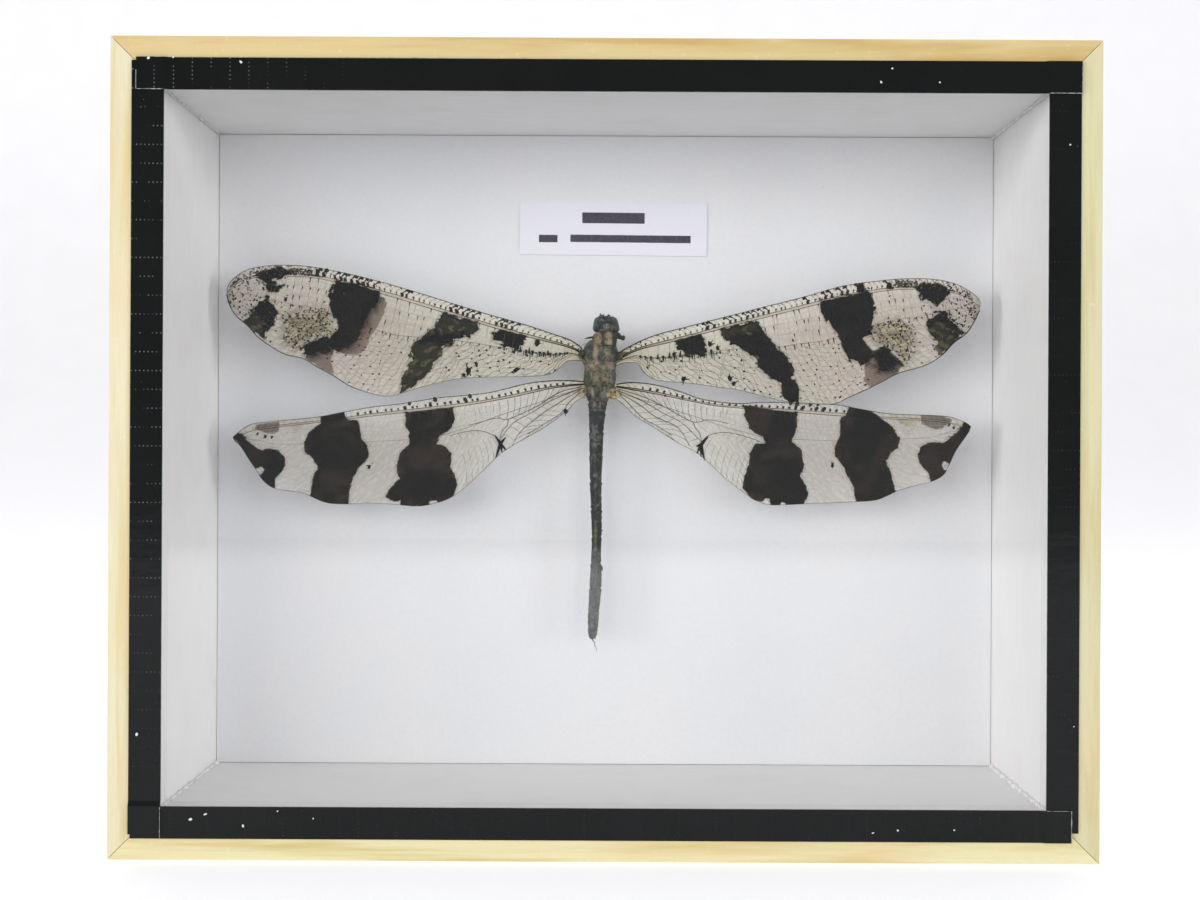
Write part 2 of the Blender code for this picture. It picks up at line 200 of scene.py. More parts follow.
class Batch:
    """Gathers many small shapes in one mesh, with a tone for each point."""

    def __init__(self):
        self.verts = []
        self.faces = []
        self.tones = []
        self.warmth = []

    def tube(self, points, radii, tones, warmth=0.0, sides=4):
        """A tube through points, in metres, closed at both ends."""
        points = np.asarray(points, dtype=float)
        count = len(points)
        radii = np.broadcast_to(radii, count)
        tones = np.broadcast_to(tones, count)
        warmth = np.broadcast_to(warmth, count)
        along = np.gradient(points, axis=0)
        along /= np.linalg.norm(along, axis=1)[:, None] + 1e-12
        up = np.array((0.0, 1.0, 0.0))
        if abs(along[0] @ up) > 0.9:
            up = np.array((1.0, 0.0, 0.0))
        across = np.cross(along, up)
        across /= np.linalg.norm(across, axis=1)[:, None] + 1e-12
        over = np.cross(across, along)
        base = len(self.verts)
        for k in range(count):
            for side in range(sides):
                angle = 2 * math.pi * (side + 0.5) / sides
                offset = across[k] * math.cos(angle) + over[k] * math.sin(angle)
                self.verts.append(tuple(points[k] + offset * radii[k]))
        self.tones.extend(np.repeat(tones, sides))
        self.warmth.extend(np.repeat(warmth, sides))
        for k in range(count - 1):
            for side in range(sides):
                a = base + k * sides + side
                b = base + k * sides + (side + 1) % sides
                self.faces.append((a, b, b + sides, a + sides))
        self.faces.append(tuple(base + side for side in reversed(range(sides))))
        last = base + (count - 1) * sides
        self.faces.append(tuple(last + side for side in range(sides)))

    def blot(self, centre, size, long, angle, thickness, tone=1.0, sides=7):
        """A flat irregular spot in the wing's plane, thickest in its middle."""
        base = len(self.verts)
        x, y, z = centre
        for k in range(sides):
            turn = 2 * math.pi * k / sides
            reach = size * rng.uniform(0.75, 1.2)
            a, b = reach * long * math.cos(turn), reach * math.sin(turn)
            self.verts.append((x + a * math.cos(angle) - b * math.sin(angle), y,
                               z + a * math.sin(angle) + b * math.cos(angle)))
        self.verts.append((x, y - thickness, z))
        self.verts.append((x, y + thickness, z))
        for k in range(sides):
            after = (k + 1) % sides
            self.faces.append((base + k, base + after, base + sides))
            self.faces.append((base + after, base + k, base + sides + 1))
        self.tones.extend([tone] * (sides + 2))
        self.warmth.extend([0.0] * (sides + 2))

    def build(self, name, material, replaces=()):
        piece(name, self.verts, self.faces, material, replaces,
              {"tone": self.tones, "warmth": self.warmth})


OUTLINE_STEPS = 600
STEPS_BETWEEN = 24


def even_curve(points, steps=OUTLINE_STEPS):
    """A smooth curve through points, as steps + 1 points evenly spaced along it."""
    points = np.asarray(points, dtype=float)
    padded = np.vstack([2 * points[0] - points[1], points, 2 * points[-1] - points[-2]])
    t = np.linspace(0, 1, STEPS_BETWEEN, endpoint=False)[:, None]
    runs = []
    for a, b, c, d in zip(padded, padded[1:], padded[2:], padded[3:]):
        runs.append(0.5 * (2 * b + (c - a) * t + (2 * a - 5 * b + 4 * c - d) * t ** 2
                           + (3 * b - a - 3 * c + d) * t ** 3))
    fine = np.vstack(runs + [points[-1:]])
    reach = np.concatenate([[0], np.cumsum(np.linalg.norm(np.diff(fine, axis=0), axis=1))])
    even = np.linspace(0, reach[-1], steps + 1)
    return np.column_stack([np.interp(even, reach, fine[:, k]) for k in range(fine.shape[1])])


def at(curve, u):
    """The point at share u along an even curve, for an array of shares."""
    steps = np.clip(u, 0, 1) * (len(curve) - 1)
    return np.column_stack([np.interp(steps, np.arange(len(curve)), column) for column in curve.T])


def inside(points, outline):
    """Distance in mm from a closed outline, positive inside it."""
    outline = np.asarray(outline, dtype=float)
    nearest = np.full(len(points), 1e9)
    crossings = np.zeros(len(points), dtype=int)
    for a, b in zip(outline, np.roll(outline, -1, axis=0)):
        edge = b - a
        t = np.clip(((points - a) @ edge) / (edge @ edge), 0, 1)
        gap = points - a - t[:, None] * edge
        nearest = np.minimum(nearest, np.einsum("ij,ij->i", gap, gap))
        spans = (a[1] > points[:, 1]) != (b[1] > points[:, 1])
        if b[1] != a[1]:
            reach = a[0] + (points[:, 1] - a[1]) / (b[1] - a[1]) * edge[0]
            crossings += spans & (points[:, 0] < reach)
    return np.where(crossings % 2 == 1, 1.0, -1.0) * np.sqrt(nearest)


def scatter(i, j, salt=0.0):
    """A repeatable number from 0 to 1 for each pair of whole numbers."""
    value = np.sin(i * 12.9898 + j * 78.233 + salt) * 43758.5453
    return value - np.floor(value)


# -------------------------------------------------------------------- wings

# Outlines and veins are in mm from the specimen's origin, x to the right and z up. The
# front edge, radius and rear edge run from root to tip.
WINGS = {
    "forewing_left": {
        "lead": [(-2.9, 2.6), (-3.4, 3.9), (-4.2, 4.7), (-5.8, 5.6), (-8.2, 6.4), (-13.1, 8.0),
                 (-20.3, 10.0), (-26.9, 12.0), (-31.4, 13.4), (-37.7, 15.2), (-43.4, 16.6),
                 (-48.0, 17.5), (-51.5, 18.0), (-56.2, 18.1), (-60.1, 17.6), (-62.3, 16.7),
                 (-64.1, 15.1), (-64.7, 13.8)],
        "radius": [(-2.9, 2.4), (-4.4, 3.7), (-7.4, 4.7), (-11.5, 5.7), (-15.5, 6.7),
                   (-21.0, 8.3), (-26.6, 10.0), (-33.1, 12.0), (-38.3, 13.5), (-43.5, 14.8),
                   (-49.2, 16.0), (-53.9, 16.3), (-58.8, 16.1), (-62.3, 15.3), (-64.7, 13.4)],
        "trail": [(-2.9, 1.6), (-3.7, 1.9), (-5.9, 1.8), (-7.0, 0.8), (-8.2, -0.1),
                  (-9.4, -0.6), (-13.0, -0.9), (-17.9, -1.0), (-24.4, -1.3), (-28.7, -2.2),
                  (-32.4, -3.2), (-34.8, -4.0), (-36.9, -4.4), (-39.8, -3.9), (-43.3, -2.7),
                  (-46.1, -1.0), (-49.2, 0.7), (-51.4, 2.0), (-54.7, 2.8), (-57.5, 4.4),
                  (-59.4, 5.8), (-61.0, 7.6), (-62.9, 9.2), (-64.1, 11.0), (-64.7, 13.0)],
        "ink": [
            [(-45.8, 15.6), (-42.3, 15.0), (-38.2, 13.7), (-38.6, 12.0), (-39.9, 10.1),
             (-40.6, 8.5), (-41.4, 6.8), (-42.4, 5.1), (-43.6, 4.2), (-45.0, 3.3),
             (-46.2, 4.0), (-46.9, 5.4), (-45.5, 7.1), (-45.7, 8.5), (-46.4, 9.4),
             (-47.1, 11.7), (-46.9, 13.3)],
            [(-60.3, 16.9), (-57.4, 17.7), (-54.8, 17.6), (-52.9, 17.0), (-54.8, 15.8),
             (-56.7, 15.5), (-56.2, 14.8), (-54.8, 14.7), (-55.6, 13.7), (-57.4, 13.7),
             (-57.8, 14.8), (-59.2, 15.5)],
            [(-59.2, 11.8), (-57.8, 12.6), (-56.7, 11.7), (-55.9, 10.0), (-56.6, 7.9),
             (-57.8, 6.7), (-57.7, 4.6), (-59.4, 5.8), (-62.2, 8.7), (-60.8, 9.7)],
            [(-26.9, 10.0), (-21.3, 8.6), (-21.2, 7.1), (-22.2, 6.2), (-24.5, 5.6),
             (-25.7, 5.5), (-25.8, 4.6), (-27.3, 3.9), (-27.6, 2.5), (-28.8, 1.5),
             (-29.7, 0.1), (-30.8, -1.4), (-32.4, -2.6), (-34.8, -4.2), (-34.3, -1.7),
             (-33.6, 0.3), (-32.6, 1.8), (-32.9, 3.2), (-32.2, 4.9), (-30.5, 6.1),
             (-29.0, 7.6), (-28.5, 8.8)],
            [(-17.6, 7.3), (-15.5, 6.8), (-13.2, 6.2), (-13.5, 4.8), (-14.3, 3.8),
             (-16.4, 4.1), (-17.6, 5.0), (-18.8, 5.2), (-18.8, 6.4)],
            [(-51.3, 4.5), (-49.0, 5.6), (-47.6, 6.1), (-46.4, 5.0), (-46.9, 3.4), (-49.5, 2.6),
             (-51.4, 2.9)],
            [(-49.6, 17.9), (-48.2, 17.6), (-48.6, 16.0), (-49.8, 16.1)],
        ],
        "brown": [
            [(-40.5, 13.2), (-37.6, 12.6), (-36.8, 11.6), (-37.7, 9.3), (-39.0, 7.0),
             (-39.9, 5.6), (-40.4, 3.8), (-42.1, 2.7), (-45.2, 2.9), (-44.5, 5.6),
             (-42.6, 9.5)],
            [(-50.9, 3.0), (-47.3, 4.6), (-46.2, 4.0), (-46.6, 1.4), (-46.0, -0.9),
             (-48.6, 0.5), (-51.0, 2.0)],
        ],
        "warm": [
            [(-55.2, 9.6), (-51.2, 10.4), (-47.0, 10.9), (-46.0, 5.9), (-49.0, 5.4),
             (-52.1, 3.3), (-54.7, 4.4)],
            [(-60.9, 10.4), (-59.0, 11.0), (-58.8, 9.0), (-60.5, 8.6)],
            [(-54.0, 17.6), (-49.9, 17.3), (-50.0, 16.2), (-54.0, 16.4)],
        ],
        "olive": [
            [(-26.9, 9.6), (-21.4, 8.4), (-21.5, 6.9), (-24.5, 6.4), (-29.0, 6.7),
             (-30.5, 6.4), (-28.6, 8.6)],
            [(-30.5, 5.0), (-26.3, 4.4), (-27.4, 3.0), (-28.0, 2.0), (-29.5, 0.5),
             (-31.0, -1.0), (-34.8, -4.3), (-34.2, -1.7), (-33.3, 0.5), (-32.3, 2.0),
             (-32.8, 3.5), (-32.0, 4.8)],
            [(-59.8, 10.0), (-58.2, 9.0), (-57.9, 6.0), (-57.6, 4.6), (-60.0, 6.2),
             (-62.2, 8.9)],
        ],
        "spots": [(-11.1, 4.9, 0.42), (-22.9, 0.1, 0.45), (-23.7, -0.7, 0.3), (-21.6, 1.3, 0.3),
                  (-14.7, 0.2, 0.38), (-14.5, 4.1, 0.35), (-54.5, 12.2, 0.25)],
        "costal": [(-49.8, -48.0, 1.0), (-46.4, -39.0, 0.75), (-34.8, -33.4, 0.8),
                   (-26.2, -22.0, 0.85), (-18.6, -15.2, 0.7)],
        "row": (-15.0, -5.6),
    },
    "forewing_right": {
        "lead": [(2.6, 2.4), (3.0, 3.2), (5.3, 4.6), (9.2, 6.3), (15.1, 7.9), (19.6, 9.1),
                 (23.9, 10.2), (28.4, 11.4), (34.3, 12.9), (41.7, 15.0), (47.8, 15.9),
                 (52.6, 16.3), (57.4, 16.2), (61.1, 15.4), (63.6, 14.1), (65.0, 12.9),
                 (65.3, 12.0)],
        "radius": [(2.6, 1.9), (6.3, 3.8), (11.8, 5.2), (15.3, 6.1), (19.6, 7.3),
                   (26.2, 9.1), (34.3, 11.2), (41.2, 12.9), (46.4, 13.9), (50.7, 14.5),
                   (54.2, 14.6), (57.6, 14.4), (61.9, 13.6), (65.3, 11.6)],
        "trail": [(2.6, 1.0), (3.8, 1.5), (6.2, 1.5), (7.0, 0.3), (8.6, -1.0), (10.8, -1.6),
                  (15.2, -1.9), (19.7, -2.5), (23.1, -2.9), (27.3, -3.9), (32.2, -5.1),
                  (34.5, -5.2), (39.9, -5.4), (42.5, -4.3), (45.4, -3.0), (48.6, -1.4),
                  (51.3, 0.0), (55.9, 1.4), (58.8, 3.2), (60.7, 5.2), (63.0, 7.0),
                  (64.3, 9.0), (65.2, 10.9)],
        "ink": [
            [(13.0, 5.2), (14.8, 6.0), (17.2, 6.6), (18.1, 4.6), (18.3, 3.4), (16.5, 2.8),
             (15.0, 2.7), (13.9, 3.4), (13.0, 4.1)],
            [(20.5, 7.5), (22.4, 8.1), (26.0, 9.0), (28.2, 7.5), (29.1, 5.5), (30.6, 4.0),
             (31.9, 2.6), (32.8, 0.9), (33.1, -1.1), (34.0, -3.0), (34.0, -5.4),
             (32.4, -5.4), (30.9, -3.3), (30.7, -2.0), (28.5, -0.2), (26.9, 0.9),
             (26.9, 2.2), (25.1, 3.7), (23.1, 4.6), (20.9, 5.7)],
            [(37.7, 12.4), (40.5, 13.0), (45.9, 14.2), (46.8, 12.1), (47.3, 10.2),
             (46.6, 8.0), (46.4, 6.4), (45.3, 6.0), (45.6, 5.0), (46.6, 3.9), (46.4, 2.4),
             (44.7, 1.6), (42.8, 2.2), (41.8, 4.1), (41.2, 5.8), (40.0, 7.3), (39.1, 8.7),
             (37.9, 10.4)],
            [(46.9, 3.6), (48.9, 4.6), (50.6, 3.0), (51.6, 1.2), (50.0, 0.6), (47.7, 0.4)],
            [(53.4, 14.9), (57.4, 15.8), (59.9, 15.3), (60.2, 13.9), (58.7, 12.5),
             (57.8, 11.8), (56.5, 12.7), (55.3, 12.4), (54.6, 13.6)],
            [(56.1, 8.4), (57.5, 10.4), (59.0, 11.1), (60.2, 9.4), (62.5, 6.6), (60.7, 5.0),
             (58.8, 3.0), (57.8, 5.2), (56.6, 6.8)],
            [(48.9, 15.9), (50.1, 16.0), (50.3, 14.4), (49.3, 14.2)],
            [(43.8, 15.2), (45.0, 15.4), (45.3, 13.6), (44.0, 13.4)],
        ],
        "brown": [
            [(45.6, 1.8), (46.6, 3.9), (48.9, 4.6), (51.0, 2.9), (52.2, 1.2), (50.3, -0.6),
             (46.5, -2.6), (45.2, -1.4)],
            [(57.2, 4.4), (59.0, 6.8), (61.8, 6.6), (60.4, 4.9), (58.4, 2.9)],
        ],
        "warm": [
            [(46.8, 8.4), (51.6, 9.2), (54.2, 7.0), (53.6, 3.6), (52.8, 1.4), (50.0, 4.1),
             (46.8, 5.5)],
            [(60.0, 10.6), (62.3, 8.4), (61.6, 7.2), (59.8, 9.0)],
            [(50.5, 16.1), (54.5, 15.8), (54.4, 14.7), (50.6, 14.7)],
        ],
        "olive": [
            [(20.6, 7.2), (26.0, 8.6), (27.5, 7.2), (24.5, 6.6), (21.0, 6.2)],
            [(56.6, 7.6), (58.4, 8.6), (61.5, 6.6), (60.4, 5.0), (58.6, 3.2), (57.8, 5.2)],
        ],
        "spots": [(18.7, 4.8, 0.38), (20.0, 4.2, 0.3), (12.5, 3.1, 0.3), (14.2, -1.2, 0.42),
                  (22.1, -1.0, 0.42), (22.9, -1.9, 0.35), (35.2, 7.4, 0.25), (33.0, 5.6, 0.22)],
        "costal": [(18.2, 19.8, 0.95), (21.8, 29.6, 0.6), (34.8, 36.6, 0.95), (38.6, 40.0, 0.9),
                   (41.4, 43.2, 0.85), (43.8, 45.2, 1.0), (48.8, 50.2, 1.0)],
        "row": (6.6, 19.0),
    },
    "hindwing_left": {
        "lead": [(-2.9, -1.8), (-5.5, -1.6), (-9.4, -1.7), (-13.0, -2.2), (-16.6, -3.1),
                 (-20.3, -3.9), (-27.5, -4.6), (-31.3, -5.2), (-35.0, -5.8), (-39.4, -6.3),
                 (-44.3, -7.2), (-48.3, -8.0), (-52.7, -8.5), (-57.1, -8.9), (-60.2, -9.4),
                 (-61.9, -10.4), (-63.3, -11.6)],
        "radius": [(-2.9, -2.2), (-8.2, -2.8), (-13.0, -3.9), (-17.8, -4.9), (-25.1, -6.1),
                   (-34.8, -7.2), (-40.0, -7.8), (-44.3, -8.4), (-48.6, -8.9), (-52.9, -9.4),
                   (-57.2, -10.0), (-60.7, -10.7), (-63.2, -11.9)],
        "trail": [(-2.9, -4.4), (-4.5, -5.3), (-5.7, -6.6), (-9.8, -9.7), (-13.7, -11.9),
                  (-17.1, -14.1), (-19.2, -16.1), (-22.1, -18.9), (-25.0, -21.3),
                  (-27.4, -22.5), (-31.1, -23.3), (-34.7, -23.1), (-39.4, -22.8),
                  (-43.7, -23.0), (-47.1, -22.8), (-49.9, -21.7), (-51.3, -21.1),
                  (-53.6, -20.8), (-56.3, -20.3), (-58.1, -19.0), (-59.3, -17.2),
                  (-60.6, -15.3), (-61.9, -13.3), (-63.1, -12.2)],
        "ink": [
            [(-63.6, -11.7), (-61.9, -10.5), (-61.2, -11.7), (-58.4, -13.8), (-57.0, -13.6),
             (-55.3, -13.9), (-54.4, -15.0), (-54.3, -16.3), (-55.0, -17.7), (-56.0, -18.7),
             (-56.0, -20.6), (-58.1, -19.4), (-58.9, -18.0), (-58.3, -17.9), (-57.9, -17.2),
             (-58.3, -16.7), (-59.5, -17.0), (-60.9, -15.3), (-62.3, -12.9)],
            [(-48.1, -7.8), (-44.3, -7.0), (-44.1, -7.9), (-43.4, -8.5), (-41.9, -8.5),
             (-41.4, -10.5), (-41.0, -11.9), (-40.1, -12.9), (-39.9, -14.5), (-40.5, -15.8),
             (-41.6, -16.7), (-42.5, -18.6), (-43.2, -20.9), (-43.5, -23.3), (-47.1, -23.2),
             (-50.1, -21.8), (-49.5, -18.5), (-48.6, -16.5), (-49.5, -15.2), (-50.9, -14.1),
             (-51.0, -12.3), (-50.2, -10.7), (-48.3, -9.2)],
            [(-33.7, -7.2), (-25.4, -6.3), (-25.2, -8.2), (-25.8, -10.1), (-27.7, -11.1),
             (-28.2, -12.6), (-26.8, -13.0), (-25.8, -14.2), (-25.9, -16.7), (-25.0, -18.1),
             (-24.5, -19.6), (-25.5, -21.9), (-27.9, -22.8), (-28.3, -22.3), (-29.4, -22.5),
             (-29.4, -23.4), (-31.3, -23.5), (-31.6, -22.9), (-32.2, -23.5), (-34.5, -23.5),
             (-34.5, -22.4), (-36.1, -22.4), (-37.0, -21.6), (-36.5, -20.4), (-34.7, -18.6),
             (-35.0, -17.3), (-35.0, -15.6), (-34.3, -13.8), (-33.0, -12.7),
             (-33.0, -10.6), (-33.7, -9.6)],
        ],
        "brown": [
            [(-59.5, -9.4), (-57.2, -9.0), (-55.3, -8.8), (-55.3, -10.7), (-56.2, -11.0),
             (-57.8, -10.9), (-59.5, -10.2)],
        ],
        "warm": [
            [(-54.8, -8.8), (-52.1, -8.5), (-48.3, -8.0), (-49.6, -9.7), (-52.7, -10.6),
             (-54.8, -10.1)],
        ],
        "spots": [(-39.8, -16.5, 0.3), (-39.3, -16.0, 0.16), (-6.1, -6.9, 0.32),
                  (-57.7, -11.5, 0.22), (-56.6, -11.6, 0.18), (-59.0, -11.0, 0.2)],
        "costal": [(-24.6, -23.2, 0.8), (-30.0, -28.8, 0.5), (-34.0, -33.0, 0.5)],
        "row": None,
        "veins": [
            [(-3.4, -2.6), (-7.4, -3.7), (-10.8, -5.9), (-16.0, -8.3), (-18.0, -8.1),
             (-22.1, -9.2), (-25.5, -9.8), (-33.0, -11.2)],
            [(-16.0, -8.3), (-16.1, -9.3), (-17.1, -10.5), (-17.4, -12.1)],
            [(-3.4, -2.9), (-8.5, -5.0), (-11.9, -7.1), (-14.8, -8.7), (-16.2, -10.2),
             (-17.2, -11.6)],
            [(-3.6, -3.2), (-7.4, -5.5), (-10.1, -7.3), (-12.3, -9.0), (-14.4, -11.1),
             (-15.2, -12.8)],
            [(-3.6, -3.6), (-5.6, -5.4), (-6.6, -7.0), (-9.2, -8.7), (-12.6, -10.8)],
            [(-17.4, -12.1), (-18.2, -11.2), (-20.3, -10.4), (-22.1, -10.3), (-24.3, -10.7),
             (-26.1, -11.2)],
        ],
        "star": [(-17.3, -12.5), (-18.2, -11.1), (-18.1, -15.0), (-16.4, -11.4), (-16.3, -13.6),
                 (-17.0, -14.0)],
    },
    "hindwing_right": {
        "lead": [(2.6, -2.2), (4.6, -1.9), (7.5, -2.0), (10.8, -2.6), (14.1, -3.6), (17.0, -4.6),
                 (20.7, -5.2), (24.0, -5.4), (27.3, -5.2), (30.7, -5.2), (34.4, -5.4),
                 (40.2, -5.5), (44.8, -6.3), (49.4, -7.0), (54.1, -7.2), (57.6, -7.3),
                 (60.3, -7.6), (62.7, -8.5), (63.6, -9.2)],
        "radius": [(2.6, -2.6), (9.6, -3.8), (15.2, -4.9), (19.7, -5.7), (26.3, -6.2),
                   (34.4, -6.8), (39.6, -7.2), (44.4, -7.5), (49.1, -7.8), (54.3, -8.0),
                   (59.5, -8.5), (63.5, -9.5)],
        "trail": [(2.6, -4.8), (3.8, -5.6), (6.0, -7.7), (9.1, -9.6), (13.1, -12.1),
                  (16.6, -14.0), (19.7, -16.7), (21.9, -18.7), (24.6, -20.7), (26.3, -21.9),
                  (28.5, -22.7), (31.0, -22.8), (36.8, -22.5), (43.7, -22.2), (47.2, -21.9),
                  (49.1, -21.2), (51.8, -20.0), (56.7, -18.7), (58.8, -17.6), (59.7, -16.2),
                  (61.0, -13.4), (62.7, -10.9), (63.4, -9.8)],
        "ink": [
            [(24.4, -5.6), (24.7, -7.6), (25.4, -9.0), (25.4, -9.8), (27.8, -11.1),
             (28.3, -12.2), (26.5, -12.4), (25.6, -14.0), (25.4, -16.2), (24.6, -17.8),
             (24.2, -20.0), (26.3, -22.1), (27.9, -22.3), (28.3, -21.7), (29.0, -21.8),
             (29.2, -23.0), (30.8, -23.0), (31.1, -22.3), (31.7, -22.4), (31.9, -23.0),
             (34.9, -22.9), (35.6, -20.9), (35.4, -19.5), (34.4, -17.9), (34.9, -15.8),
             (34.4, -13.2), (32.8, -11.9), (33.7, -9.4), (33.7, -6.8), (30.0, -6.5)],
            [(42.6, -5.6), (45.8, -6.1), (48.5, -8.1), (50.1, -9.3), (51.3, -11.1),
             (51.1, -12.8), (49.7, -13.9), (49.0, -15.1), (50.0, -17.6), (50.9, -20.7),
             (47.2, -22.3), (44.0, -22.5), (43.5, -19.9), (42.1, -17.0), (41.2, -15.6),
             (40.2, -14.2), (40.1, -13.0), (41.1, -10.4), (41.1, -7.7), (42.0, -7.3)],
            [(63.9, -9.4), (62.4, -8.5), (61.3, -9.9), (59.9, -10.9), (59.0, -12.0),
             (56.4, -12.0), (55.0, -12.5), (54.5, -14.1), (55.0, -15.9), (56.4, -17.3),
             (56.7, -19.0), (58.9, -17.9), (59.7, -16.8), (59.0, -16.6), (58.6, -15.8),
             (59.1, -15.3), (60.1, -15.7), (61.3, -13.4), (63.0, -10.9)],
        ],
        "brown": [
            [(55.0, -7.1), (58.7, -7.2), (60.6, -8.0), (58.7, -9.5), (57.6, -9.7),
             (56.2, -9.3), (55.0, -8.8)],
        ],
        "warm": [
            [(47.8, -6.9), (55.0, -7.2), (55.0, -9.3), (52.5, -9.7), (50.1, -8.6)],
        ],
        "spots": [(39.8, -15.9, 0.34), (59.8, -8.9, 0.2), (60.6, -9.4, 0.16),
                  (14.0, -4.6, 0.15), (11.0, -4.1, 0.15)],
        "costal": [(33.0, 35.0, 0.5), (37.0, 39.0, 0.6)],
        "row": None,
        "veins": [
            [(3.0, -3.0), (7.4, -4.4), (10.8, -6.0), (15.8, -8.6), (18.4, -8.2), (22.1, -8.9),
             (25.3, -9.6), (30.0, -11.0)],
            [(15.8, -8.6), (16.2, -9.6), (16.9, -10.5), (17.3, -12.0)],
            [(3.0, -3.3), (7.4, -5.2), (10.6, -7.1), (13.5, -8.5), (15.5, -10.2),
             (17.2, -12.0)],
            [(3.0, -3.6), (6.4, -5.6), (9.3, -7.7), (12.6, -9.2), (14.3, -11.0),
             (15.2, -12.8)],
            [(3.2, -4.0), (5.0, -5.8), (7.2, -8.0), (9.4, -9.2), (12.2, -10.9)],
            [(17.3, -12.0), (18.5, -10.9), (20.6, -10.4), (22.6, -10.5), (25.6, -11.3),
             (27.8, -12.1)],
        ],
        "star": [(17.2, -12.5), (18.4, -11.1), (17.8, -15.2), (16.3, -12.8), (16.5, -14.0),
                 (17.2, -14.6)],
    },
}

# How the two kinds of wing differ: share of the chord where the main lengthwise vein runs,
# spacing of branches and cells in mm, lean of the branches towards the tip, thickness and
# darkness of the net, spacing of the rungs at the front edge, chance of a spot at a joint,
# raggedness of the markings in mm, and how wide the pale band before the radius is.
FORE = {"mid": 0.37, "spacing": 1.05, "cell": 0.95, "lean": 0.07, "thin": 0.028, "tone": 0.52,
        "rungs": 0.95, "blots": 0.30, "ragged": 0.75, "band": 0.20}
HIND = {"mid": 0.30, "spacing": 1.15, "cell": 2.6, "lean": 0.13, "thin": 0.024, "tone": 0.34,
        "rungs": 1.15, "blots": 0.0, "ragged": 0.25, "band": 0.19}
ROOT_PART = 0.33
APEX_PART = 0.83

# How many points the membrane has along the wing, before the pale band, within it and
# behind the radius, and how they crowd towards the tip
ALONG = 391
BEFORE_BAND = 12
IN_BAND = 4
BEHIND = 109
CROWDING = 0.94

# How far in mm the markings' values reach from their outlines
REACH = 3.0
# How far in mm before the sheet the veins of WINGS lie, the rungs between those veins, and
# the spots and spurs of the net
OWN_LIFT = 0.12
RUNG_LIFT = 0.10
SPOT_LIFT = 0.03


